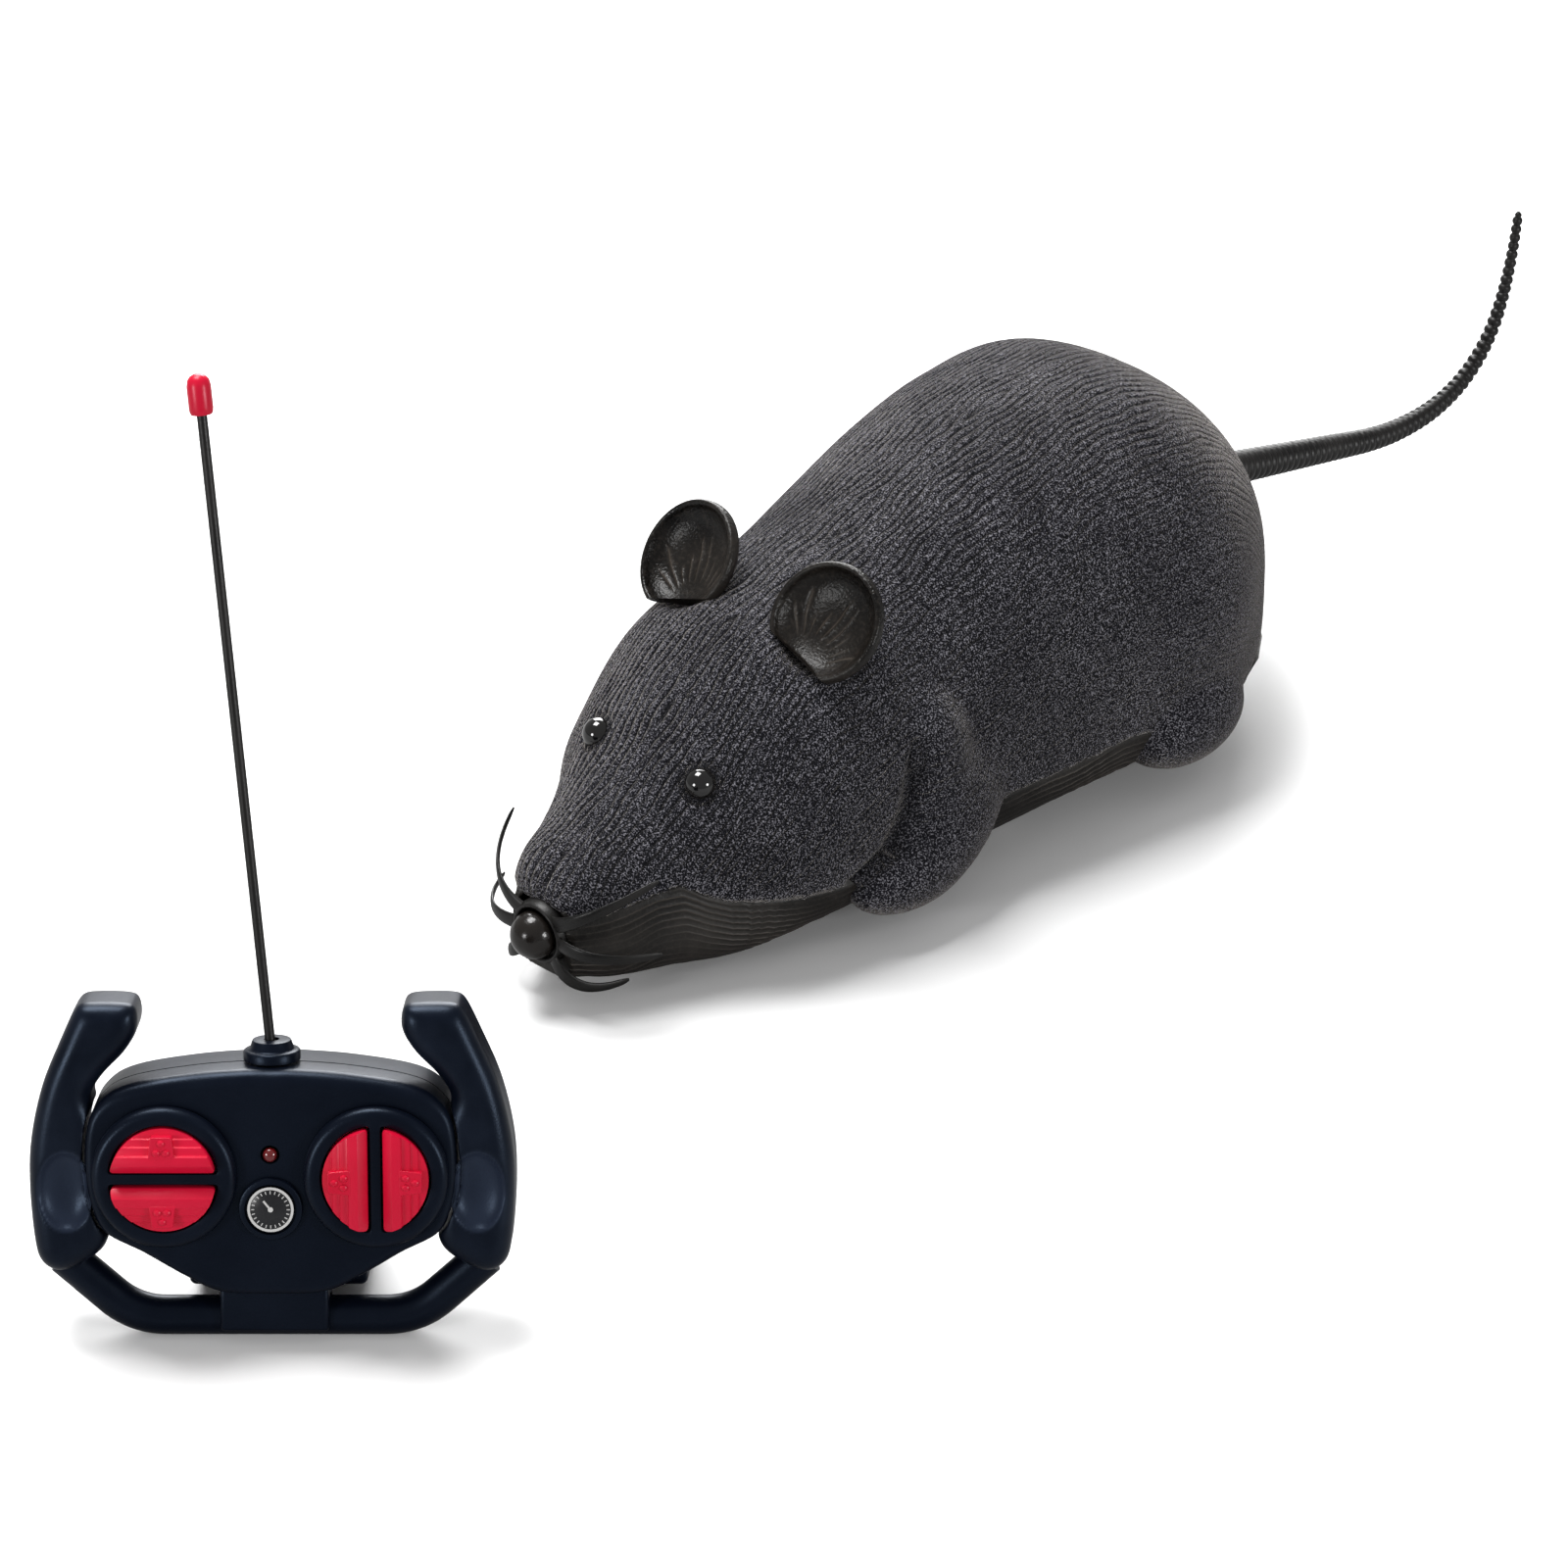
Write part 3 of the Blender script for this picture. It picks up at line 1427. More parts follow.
@dataclass(frozen=True)
class SweptStrand:
    """A strand swept along a path, round or flat, with ribs across it."""

    name: str
    sides: int = 20
    samples: int = 60
    flatness: float = 1.0
    rib_pitch: float = 0.001
    rib_depth: float = 0.0
    rib_start: float = 0.0

    def tree(self, material: bpy.types.Material) -> NodeTree:
        """The tree that sweeps a round profile along the object's line of points.

        Args:
            material: The strand's material.

        Returns:
            The tree.
        """
        made = NodeTree(self.name, {
            "Sides": ("NodeSocketInt", self.sides), "Samples": ("NodeSocketInt", self.samples),
            "Flatness": ("NodeSocketFloat", self.flatness), "Rib Pitch": ("NodeSocketFloat", self.rib_pitch),
            "Rib Depth": ("NodeSocketFloat", self.rib_depth),
            "Rib Start": ("NodeSocketFloat", self.rib_start),
            "Material": ("NodeSocketMaterial", material)})
        line = made.node("GeometryNodeMeshToCurve", {"Mesh": made.input("Geometry")}).outputs[0]
        even = made.node("GeometryNodeResampleCurve", {
            "Curve": line, "Count": made.input("Samples")}).outputs[0]
        upright = made.node("GeometryNodeSetCurveNormal", {"Curve": even}, mode="Z_UP").outputs[0]
        walked = made.node("GeometryNodeSplineParameter").outputs["Length"]
        past = made.maths("SUBTRACT", walked, made.input("Rib Start"))
        turns = made.maths("MULTIPLY", made.maths("DIVIDE", past, made.input("Rib Pitch")), math.pi)
        wave = made.maths("POWER", made.maths("ABSOLUTE", made.maths("SINE", turns)), 0.6)
        begun = made.maths("GREATER_THAN", past, 0.0)
        floor = made.maths("MULTIPLY", made.maths("SUBTRACT", 1.0, wave), begun)
        drop = made.maths("MULTIPLY", floor, made.input("Rib Depth"))
        reach = made.maths("SUBTRACT", made.attribute("reach"), drop)
        circle = made.node("GeometryNodeCurvePrimitiveCircle", {
            "Resolution": made.input("Sides"), "Radius": 1.0})
        scale = made.node("ShaderNodeCombineXYZ", {0: made.input("Flatness"), 1: 1.0, 2: 1.0}).outputs[0]
        profile = made.node("GeometryNodeTransform", {
            "Geometry": circle.outputs[0], "Scale": scale}).outputs[0]
        skin = made.node("GeometryNodeCurveToMesh", {
            "Curve": upright, "Profile Curve": profile, "Scale": reach, "Fill Caps": True}).outputs[0]
        made.close(made.node("GeometryNodeSetShadeSmooth", {"Geometry": skin}).outputs[0])
        return made

    def build(self, path: Array, radii: Array, material: bpy.types.Material) -> Piece:
        """Sweeps the strand.

        Args:
            path: Points of the path in world coordinates.
            radii: Half width at each point.
            material: The strand's material.

        Returns:
            The strand as a plain mesh.
        """
        mesh = bpy.data.meshes.new(self.name)
        mesh.from_pydata([tuple(point) for point in path], [(k, k + 1) for k in range(len(path) - 1)], [])
        reach = mesh.attributes.new("reach", "FLOAT", "POINT")
        reach.data.foreach_set("value", np.asarray(radii, np.float32))
        return self.tree(material).run(linked(self.name, mesh))


@dataclass
class MouseHead(Assembly):
    """Ears, bead eyes, the nose ball and the soft collar with its whiskers."""

    form: BodyForm = field(default_factory=BodyForm)
    ear_radius: float = 0.0078
    ear_rim: float = 0.0009
    ear_depth: float = 0.0030
    ear_wall: float = 0.0012
    ear_rise: float = 0.0048
    ear_cut: float = 0.0056
    ear_place: tuple = (0.300, 0.323)
    ear_facing: tuple = (0.13, -0.78, 0.61)
    ear_up: tuple = (0.30, 0.618, 0.726)
    ear_shift: tuple = (-0.0007, 0.0005, -0.0012)
    fold_count: float = 34.0
    fold_depth: float = 0.00014
    eye_radius: float = 0.0021
    nose_radius: float = 0.0031
    stem_radius: float = 0.0012
    stem_length: float = 0.0040
    collar_radius: float = 0.0043
    muzzle_height: float = 0.0098
    plate: float = 0.0009
    lip: float = 0.0016
    gap: float = 0.0003
    collar_setback: float = 0.0016
    nose_setback: float = 0.0026
    whisker_width: float = 0.0022
    whisker_tip: float = 0.0009
    whisker_thickness: float = 0.0008
    whisker_routes: tuple = (
        ((0.0030, 0.0000, 0.0024), (0.0092, -0.0012, 0.0052), (0.0128, 0.0086, 0.0090)),
        ((0.0036, 0.0000, 0.0000), (0.0102, -0.0012, -0.0006), (0.0140, 0.0078, -0.0008)),
        ((0.0026, 0.0000, -0.0026), (0.0070, -0.0012, -0.0068), (0.0088, 0.0070, -0.0064)))

    def ear_frame(self, side: int) -> Matrix:
        """The frame of an ear's cup: Y towards its top and Z out of its mouth.

        Args:
            side: 1 on the left and -1 on the right.

        Returns:
            The frame.
        """
        facing = Vector((side * self.ear_facing[0], *self.ear_facing[1:])).normalized()
        up = Vector((side * self.ear_up[0], *self.ear_up[1:]))
        up = (up - facing * up.dot(facing)).normalized()
        turn = Matrix((up.cross(facing), up, facing)).transposed().to_4x4()
        share, across = self.ear_place
        across = across if side < 0 else 0.5 - across
        root = self.form.skin(np.array([(share - 0.5) * self.form.length]), np.array([across]))[0]
        shift = Vector((side * self.ear_shift[0], *self.ear_shift[1:]))
        return self.matrix @ Matrix.Translation(Vector(root) + up * self.ear_rise + shift) @ turn

    def build_ear(self, side: int, label: str) -> None:
        """One cupped ear with folds that fan from its foot and a raised rim.

        Args:
            side: 1 on the left and -1 on the right.
            label: Name of the side.
        """
        r, rim, d, wall = self.ear_radius, self.ear_rim, self.ear_depth, self.ear_wall
        knots = np.array([
            (0, 0.02 * d), (0.25 * r, 0.04 * d), (0.48 * r, 0.16 * d), (0.69 * r, 0.40 * d),
            (0.84 * r, 0.76 * d), (r - 0.85 * rim, d + 0.14 * rim), (r - 0.45 * rim, d + 0.28 * rim),
            (r - 0.08 * rim, d - 0.05 * rim), (r, d - 1.2 * rim), (r - 0.8 * rim, 0.42 * d),
            (0.72 * r, -0.02 * d), (0.45 * r, -0.8 * wall), (0.2 * r, -wall), (0, -wall)])
        profile = smooth_line(knots, 6)
        profile[:, 0] = np.maximum(profile[:, 0], 0.0)
        around = 240
        angle = np.arange(around) / around * 2 * np.pi
        front = np.arange(len(profile)) < 5 * 6
        points, folds = [], []
        for k in range(1, len(profile) - 1):
            reach, height = profile[k]
            reach = max(reach, 0.00005)
            x, y = reach * np.cos(angle), reach * np.sin(angle)
            fan = np.arctan2(x, y + self.ear_cut + 0.0016)
            share = np.clip(reach / (0.84 * r), 0, 1)
            run = np.hypot(x, y + self.ear_cut) / MM
            strand = (fan * self.fold_count / 2 + 0.45 * np.sin(0.8 * run + 5 * fan)) / np.pi
            reached = 5.6 + 2.6 * np.sin(9.0 * fan + 1.0) + 1.4 * np.sin(23.0 * fan)
            level = np.clip((run - 2.9) * 0.7, 0, 1) * np.clip((reached - run) * 0.9 + 1.6, 0, 1)
            level = level * np.clip((y + self.ear_cut - 0.0009) / 0.0012, 0, 1)
            level = level * np.clip((0.92 - share) * 9, 0, 1) * float(front[k])
            z = height + self.fold_depth * ridge(strand, 1.6) * level
            z = z + 0.00045 * float(front[k]) * np.clip(1 - share, 0, 1) * np.cos(fan * 1.2)
            points.append(np.stack([x, np.maximum(y, -self.ear_cut), z], -1))
            folds.append(np.stack([strand, level], -1))
        rows = len(points)
        item = mesh_from_arrays(f"{label}_ear_cup", in_frame(np.concatenate(points), self.ear_frame(side)),
                                grid_faces(rows, around))
        write_lines(item, *np.concatenate(folds).T)
        self.hand_over(item, Finish.EAR, f"{label}_ear")

    def build_eye(self, side: int, label: str) -> None:
        """One bead eye.

        Args:
            side: 1 on the left and -1 on the right.
            label: Name of the side.
        """
        middle = self.matrix @ Matrix.Translation(self.form.eye_centre(side))
        profile = [*ball_profile(self.eye_radius, 24), (0, -self.eye_radius)]
        item = turned_mesh(f"{label}_eye_bead", profile, middle, 48)
        self.hand_over(item, Finish.BEAD, f"{label}_eye")

    def muzzle_frame(self, ahead: float = 0.0) -> Matrix:
        """The frame of the collar: Z forwards, from its back.

        Args:
            ahead: How far ahead of the collar's seat.

        Returns:
            The frame.
        """
        front = (self.form.section_shares[0][0] - 0.5) * self.form.length - self.gap - ahead
        return (self.matrix @ Matrix.Translation((0, front, self.muzzle_height))
                @ turned(90, "X"))

    def build_nose(self) -> None:
        """The nose ball on its hidden stem."""
        flat, stem = 0.80 * self.nose_radius, self.stem_radius
        foot = -flat - self.stem_length
        profile = [*ball_profile(self.nose_radius, 19), (stem, -flat), (stem, foot), (0, foot)]
        ahead = self.plate + self.gap + flat - self.nose_setback
        item = turned_mesh("nose_ball", profile, self.muzzle_frame(ahead), 48)
        self.hand_over(item, Finish.NOSE, "nose")

    def build_whiskers(self) -> None:
        """The soft collar and its six flat whiskers, in one piece."""
        lip, plate, outer = self.nose_radius + self.gap, self.plate, self.collar_radius
        hole = 0.0015
        profile = smooth_line(np.array([
            (lip, plate), (lip, plate + 0.7 * self.lip), (lip + 0.00022, plate + self.lip),
            (outer - 0.00030, plate + 0.95 * self.lip), (outer, plate + 0.4 * self.lip), (outer, 0.0004)]), 5)
        profile = [(hole, plate), *[tuple(row) for row in profile], (outer - 0.0003, 0.0), (hole, 0.0)]
        collar = turned_mesh("collar", profile, self.muzzle_frame(-self.collar_setback), 56)
        strips = [collar]
        front = (self.form.section_shares[0][0] - 0.5) * self.form.length - self.gap - plate / 2
        front += self.collar_setback - self.lip
        root = np.array([0.0, front, self.muzzle_height])
        share = np.linspace(0, 1, 24)[:, None]
        width = self.whisker_width + (self.whisker_tip - self.whisker_width) * share[:, 0]
        width = width * np.clip((1 - share[:, 0]) * 14 + 0.25, 0, 1)**0.5
        strand = SweptStrand("whisker_strip", 16, 40, self.whisker_thickness / self.whisker_width)
        for route in self.whisker_routes:
            for side, _ in LEFT_AND_RIGHT:
                knots = [root + np.array(knot) * (side, 1, 1) for knot in route]
                path = bend(*knots, share)
                strips.append(strand.build(self.world(path), width / 2, self.paints.materials[Finish.SOFT]))
        self.hand_over(joined("whisker_collar", *strips), Finish.SOFT, "whisker_set")

    def build(self) -> None:
        """Builds every piece of the head."""
        for side, label in LEFT_AND_RIGHT:
            self.build_ear(side, label)
            self.build_eye(side, label)
        self.build_nose()
        self.build_whiskers()


@dataclass
class Tail(Assembly):
    """The ribbed rubber tail, which droops and then curls up."""

    start: tuple = (0.0, 0.0600, 0.0248)
    length: float = 0.0855
    headings: tuple = (
        (0.0, -14.0), (0.0360, -14.0), (0.0420, -8.0), (0.0500, 3.0), (0.0560, 17.0), (0.0610, 33.0),
        (0.0660, 50.0), (0.0700, 64.0), (0.0740, 71.5), (0.0800, 79.0), (0.0855, 82.0))
    root_radius: float = 0.0024
    tip_radius: float = 0.0007
    collar_radius: float = 0.0036
    collar_width: float = 0.0014
    ribs_start: float = 0.0060
    rib_pitch: float = 0.00125
    rib_depth: float = 0.00036

    def path(self, count: int = 160) -> Array:
        """The tail's centre line in the mouse's own frame.

        Args:
            count: Steps of the line.

        Returns:
            One row per point.
        """
        step = self.length / count
        point = np.array(self.start)
        found = [point]
        for k in range(count):
            angle = math.radians(float(np.interp((k + 0.5) * step, *np.array(self.headings).T)))
            point = point + np.array([0.0, math.cos(angle), math.sin(angle)]) * step
            found.append(point)
        return np.array(found)

    def build(self) -> None:
        """Builds the tail with its hidden collar."""
        path = self.path()
        walked = np.linspace(0, self.length, len(path))
        share = np.clip((walked - self.ribs_start) / (self.length - self.ribs_start), 0, 1)
        radii = self.root_radius + (self.tip_radius - self.root_radius) * share
        radii = np.where(walked < self.collar_width, self.collar_radius, radii)
        radii = radii * np.sqrt(np.clip((self.length - walked) / self.tip_radius + 0.05, 0, 1))
        strand = SweptStrand("tail_ribs", 28, 640, 1.0, self.rib_pitch, self.rib_depth, self.ribs_start)
        item = strand.build(self.world(path), radii, self.paints.materials[Finish.SOFT])
        item.name = "ribbed_tail"
        self.hand_over(item, Finish.SOFT, "tail")


# The handset


@dataclass(frozen=True)
class HandsetForm:
    """Sizes that the handset's assemblies share, and where it stands in the mouse's own frame."""

    width: float = 0.0560
    height: float = 0.0404
    front_depth: float = 0.0050
    rear_depth: float = 0.0058
    hump_depth: float = 0.01525
    wall: float = 0.0014
    gap: float = 0.0003
    bar_radius: float = 0.0023
    bar_shares: tuple = ((0.437, 0.235), (0.292, 0.057), (0.0, 0.057))
    hump_foot: float = 0.0049
    stand: tuple = (0.0282, -0.1347)
    turn: float = 43.0
    pad_shares: tuple = (0.218, 0.507)
    button_radius: float = 0.0064
    pad_bar: float = 0.0012
    dial_share: float = 0.411
    lens_share: float = 0.569
    housing_shares: tuple = (
        (0.000, 0.812), (0.050, 0.812), (0.160, 0.800), (0.285, 0.770), (0.345, 0.725), (0.376, 0.645),
        (0.382, 0.500), (0.368, 0.400), (0.340, 0.330), (0.266, 0.275), (0.180, 0.205), (0.105, 0.158),
        (0.000, 0.152))
    grip_shares: tuple = (
        (0.272, 0.975), (0.285, 0.998), (0.380, 1.000), (0.400, 0.978), (0.430, 0.890), (0.470, 0.755),
        (0.495, 0.600), (0.500, 0.460), (0.492, 0.300), (0.478, 0.235), (0.440, 0.208), (0.385, 0.240),
        (0.340, 0.310), (0.345, 0.500), (0.350, 0.640), (0.372, 0.720), (0.345, 0.790), (0.300, 0.855),
        (0.272, 0.920))

    def bar_height(self) -> float:
        """Height of the guard bar's middle."""
        return self.bar_shares[-1][1] * self.height

    def matrix(self, mouse: Matrix) -> Matrix:
        """The handset's frame in the world, leaning back on its bar and its hump.

        Args:
            mouse: The mouse's own frame.

        Returns:
            The frame.
        """
        rise, depth = self.hump_foot - self.bar_height(), self.hump_depth
        lean = math.atan2(rise, depth) + math.asin(self.bar_radius / math.hypot(rise, depth))
        return (mouse @ Matrix.Translation((*self.stand, self.bar_radius))
                @ turned(self.turn, "Z") @ Matrix.Rotation(-lean, 4, "X")
                @ Matrix.Translation((0, 0, -self.bar_height())))

    def housing(self) -> Array:
        """The housing's smooth outline, across and up."""
        half = [(x * self.width, z * self.height) for x, z in self.housing_shares]
        whole = half + [(-x, z) for x, z in reversed(half) if x > 0]
        return smooth_line(np.array(whole), 8, True)

    def grip(self, side: int) -> Array:
        """A grip's smooth outline, across and up."""
        knots = np.array(self.grip_shares) * (side * self.width, self.height)
        return smooth_line(knots, 8, True)

    def pad(self, side: int) -> tuple:
        """Middle of a button pad, across and up."""
        return side * self.pad_shares[0] * self.width, self.pad_shares[1] * self.height


class OutlineField:
    """Signed distances from an outline, read from a fine grid."""

    margin = 0.004
    step = 0.0002

    def __init__(self, outline: Array, softening: int = 0) -> None:
        """Measures the grid.

        Args:
            outline: Points of the closed outline.
            softening: How often the distances are evened out, which rounds ridges and corners.
        """
        self.low = outline.min(axis=0) - self.margin
        count = np.ceil((outline.max(axis=0) + self.margin - self.low) / self.step).astype(int) + 1
        axes = [self.low[k] + np.arange(count[k]) * self.step for k in (0, 1)]
        spots = np.stack(np.meshgrid(*axes, indexing="ij"), -1).reshape(-1, 2)
        ends = np.roll(outline, -1, axis=0)
        nearest = np.full(len(spots), 1.0)
        inside = np.zeros(len(spots), bool)
        for start, end in zip(outline, ends):
            run = end - start
            share = np.clip((spots - start) @ run / max(run @ run, 1e-18), 0, 1)
            away = spots - start - share[:, None] * run
            nearest = np.minimum(nearest, np.sum(away**2, axis=1))
            crosses = (start[1] > spots[:, 1]) != (end[1] > spots[:, 1])
            if crosses.any():
                level = start[0] + (spots[:, 1] - start[1]) * run[0] / (run[1] if run[1] else 1e-12)
                inside ^= crosses & (spots[:, 0] < level)
        self.values = (np.sqrt(nearest) * np.where(inside, -1.0, 1.0)).reshape(tuple(count))
        for _ in range(softening):
            for axis in (0, 1):
                padded = np.concatenate([np.take(self.values, [0], axis), self.values,
                                         np.take(self.values, [-1], axis)], axis)
                ahead = np.take(padded, range(2, padded.shape[axis]), axis)
                behind = np.take(padded, range(0, padded.shape[axis] - 2), axis)
                self.values = (ahead + 2 * self.values + behind) / 4

    def read(self, x: Array, z: Array) -> Array:
        """Distances outside the outline at points across and up.

        Args:
            x: Places across.
            z: Heights.

        Returns:
            One distance per point.
        """
        spots = (np.stack([x, z], -1) - self.low) / self.step
        spots = np.clip(spots, 0, np.array(self.values.shape) - 1.001)
        cell = spots.astype(int)
        u, v = (spots - cell).T
        i, j = cell.T
        grid = self.values
        return ((grid[i, j] * (1 - u) + grid[i + 1, j] * u) * (1 - v)
                + (grid[i, j + 1] * (1 - u) + grid[i + 1, j + 1] * u) * v)


@dataclass
class HandsetPart(Assembly):
    """What the handset's sub-assemblies share."""

    form: HandsetForm = field(default_factory=HandsetForm)

    def facing(self, x: float, z: float, ahead: float = 0.0) -> Matrix:
        """A frame on the face, or ahead of it, whose Z points out of it."""
        return self.matrix @ Matrix.Translation((x, -self.form.front_depth - ahead, z)) @ turned(90, "X")

    def plug(self, radius: float, reach: float, frame: Matrix, steps: int) -> Piece:
        """A round cutter that reaches as far below a frame as above it."""
        return turned_mesh("plug", [(0, -reach), (radius, -reach), (radius, reach), (0, reach)], frame, steps)


@dataclass
class HandsetShell(HandsetPart):
    """The two housing halves, the horn grips and the guard bar."""

    edge: float = 0.0009
    brow: float = 0.0007
    grip_depth: float = 0.0092
    grip_edge: float = 0.0023
    grip_voxel: float = 0.00030
    settle_rounds: int = 14
    settle_step: float = 0.00005
    settle_limit: float = 0.0005
    thumb_shares: tuple = (0.424, 0.455)
    thumb_radii: tuple = (0.0032, 0.0019, 0.0046)
    block_width: float = 0.0126
    block_depth: float = 0.0062
    block_skin: float = 0.0011
    boss_radius: float = 0.0037
    boss_stand: float = 0.0007
    bend_radius: float = 0.0036
    lid_half: float = 0.0093
    lens_hole: float = 0.0011
    cut_reach: float = 0.003

    def block(self, name: str, near: float, far: float) -> Piece:
        """The block that holds the guard bar, between two depths.

        Args:
            name: Name of the object.
            near: Depth of its front.
            far: Depth of its back.

        Returns:
            The block.
        """
        form = self.form
        low = form.bar_height() - form.bar_radius + self.block_skin
        top = form.housing_shares[-1][1] * form.height + form.wall / 2
        half = self.block_width / 2
        item = box_object(name, (-half, near, low), (half, far, top), self.matrix)
        return rounded(item, 0.0005, 3)

    def build_front(self) -> None:
        """The front half with its holes for the pads, its dial boss and its lens hole."""
        form = self.form
        outline = form.housing()
        upward = np.clip(outline_normals(outline)[:, 1], 0, 1)**2
        item = slab("handset_face", outline, -form.front_depth, -form.gap / 2,
                    (self.edge + self.brow * upward, 0.0), self.matrix)
        inner = outline - outline_normals(outline) * form.wall
        cut_away(item, slab("hollow", inner, -form.front_depth + form.wall, 0.004, (0.0, 0.0), self.matrix))
        cut_away(item, self.block("front_block", -self.block_depth / 2, -form.gap / 2), operation="UNION")
        r, top = self.boss_radius, self.boss_stand
        boss = [(0, -0.001), (r, -0.001), (r, top - 0.0003), (r - 0.0001, top - 0.0001), (r - 0.0003, top),
                (r - 0.0007, top), (r - 0.0007, top - 0.0009), (0, top - 0.0009)]
        dial = self.facing(0, form.dial_share * form.height)
        cut_away(item, turned_mesh("boss", boss, dial, 64), operation="UNION")
        lens = self.facing(0, form.lens_share * form.height)
        cut_away(item, self.plug(self.lens_hole, self.cut_reach, lens, 32))
        for side, _ in LEFT_AND_RIGHT:
            middle = self.facing(*form.pad(side))
            cut_away(item, self.plug(form.button_radius + form.gap, self.cut_reach, middle, 64))
        self.cut_bar(item)
        creased(item, 32, self.matrix)
        self.hand_over(item, Finish.NAVY, "handset_front")

    def cut_bar(self, item: Piece) -> None:
        """Cuts the guard bar's passage through the block.

        Args:
            item: The housing half.
        """
        form = self.form
        frame = self.matrix @ Matrix.Translation((0, 0, form.bar_height())) @ turned(90, "Y")
        cut_away(item, self.plug(form.bar_radius + form.gap, self.block_width, frame, 48))

    def build_rear(self) -> None:
        """The rear half with the cell hump and the mouth for its lid."""
        form = self.form
        outline = form.housing()
        item = slab("handset_back", outline, form.gap / 2, form.rear_depth, (0.0, self.edge), self.matrix)
        inner = outline - outline_normals(outline) * form.wall
        cut_away(item, slab("hollow", inner, -0.004, form.rear_depth - form.wall, (0.0, 0.0), self.matrix))
        cut_away(item, self.block("rear_block", form.gap / 2, self.block_depth / 2), operation="UNION")
        low, high, half = form.hump_foot, form.hump_foot + 0.0144, self.lid_half + 0.0011
        hump = rounded(box_object("hump", (-half, self.block_depth / 2 - form.gap, low),
                                  (half, form.hump_depth, high), self.matrix), 0.0008, 4)
        cut_away(item, hump, operation="UNION")
        mouth = box_object("mouth", (-self.lid_half, form.rear_depth - 0.004, low + 0.0011),
                           (self.lid_half, form.hump_depth + 0.004, high - 0.0011), self.matrix)
        cut_away(item, mouth)
        self.cut_bar(item)
        creased(item, 32, self.matrix)
        self.hand_over(item, Finish.NAVY, "handset_rear")

    def thumb_spot(self, side: int) -> Array:
        """Middle of a grip's thumb recess."""
        across, up = self.thumb_shares
        return np.array([side * across * self.form.width, -self.grip_depth / 2, up * self.form.height])

    def grip_gap(self, p: Array, side: int, outline: OutlineField, housing: OutlineField) -> Array:
        """Distance outside a grip.

        Args:
            p: Points in the handset's frame.
            side: 1 on the viewer's right and -1 on the left.
            outline: The grip's outline.
            housing: The housing's outline.

        Returns:
            The distances.
        """
        edge = self.grip_edge
        flat = outline.read(p[:, 0], p[:, 2]) + edge
        deep = np.abs(p[:, 1]) - self.grip_depth / 2 + edge
        body = np.hypot(np.maximum(flat, 0), np.maximum(deep, 0))
        body = body + np.minimum(np.maximum(flat, deep), 0) - edge
        keep = self.form.gap - housing.read(p[:, 0], p[:, 2])
        radii = np.array(self.thumb_radii)
        q = p - self.thumb_spot(side)
        ratio = np.linalg.norm(q / radii, axis=1) + 1e-9
        reach = np.linalg.norm(q, axis=1)
        recess = reach / ratio - reach
        body = -BodyForm.melted(-body, -keep, 0.0003)
        return -BodyForm.melted(-body, -recess, 0.0005)

    def build_grip(self, side: int, label: str) -> None:
        """One horn grip with its thumb recess.

        Args:
            side: 1 on the viewer's right and -1 on the left.
            label: Name of the side.
        """
        outline, housing = OutlineField(self.form.grip(side), 14), OutlineField(self.form.housing())
        half = self.grip_depth / 2
        item = slab(f"{label}_horn_grip", self.form.grip(side), -half, half, (0.0, 0.0), Matrix.Identity(4))
        p = read_points(voxel_skin(item, self.grip_voxel))
        spot = self.thumb_spot(side)
        flat = (p[:, [0, 2]] - spot[[0, 2]]) / np.array([self.thumb_radii[0], self.thumb_radii[2]])
        depth = self.thumb_radii[1] * np.sqrt(np.clip(1 - np.sum(flat**2, axis=1), 0, 1))
        p[:, 1] += np.where(p[:, 1] < -half * 0.8, depth, 0.0)
        p = settled(p, lambda q: self.grip_gap(q, side, outline, housing), self.settle_rounds,
                    self.settle_step, self.settle_limit)
        within = np.linalg.norm((p - spot) / (np.array(self.thumb_radii) * 1.04), axis=1)
        write_points(item, in_frame(p, self.matrix))
        write_lines(item, 0 * within, np.clip((1.0 - within) * 12 + 0.5, 0, 1))
        for polygon in item.data.polygons:
            polygon.use_smooth = True
        self.hand_over(item, Finish.GRIP, f"{label}_grip")

    def build_bar(self) -> None:
        """The guard bar with its two round bends."""
        form = self.form
        end, corner = [np.array([x * form.width, 0.0, z * form.height]) for x, z in form.bar_shares[:2]]
        out = (end - corner) / np.linalg.norm(end - corner)
        share = np.linspace(0, 1, 14)[:, None]
        near, far = corner - np.array([self.bend_radius, 0, 0]), corner + out * self.bend_radius
        curve = bend(near, corner, far, share)
        half = np.concatenate([curve, end[None, :]])
        path = np.concatenate([half[::-1] * (-1, 1, 1), half])
        strand = SweptStrand("guard_bar_tube", 40, 140)
        radii = np.full(len(path), form.bar_radius)
        item = strand.build(self.world(path), radii, self.paints.materials[Finish.NAVY])
        self.hand_over(item, Finish.NAVY, "guard_bar")

    def build(self) -> None:
        """Builds the housing, the grips and the bar."""
        self.build_front()
        self.build_rear()
        for side, label in ((1, "right"), (-1, "left")):
            self.build_grip(side, label)
        self.build_bar()


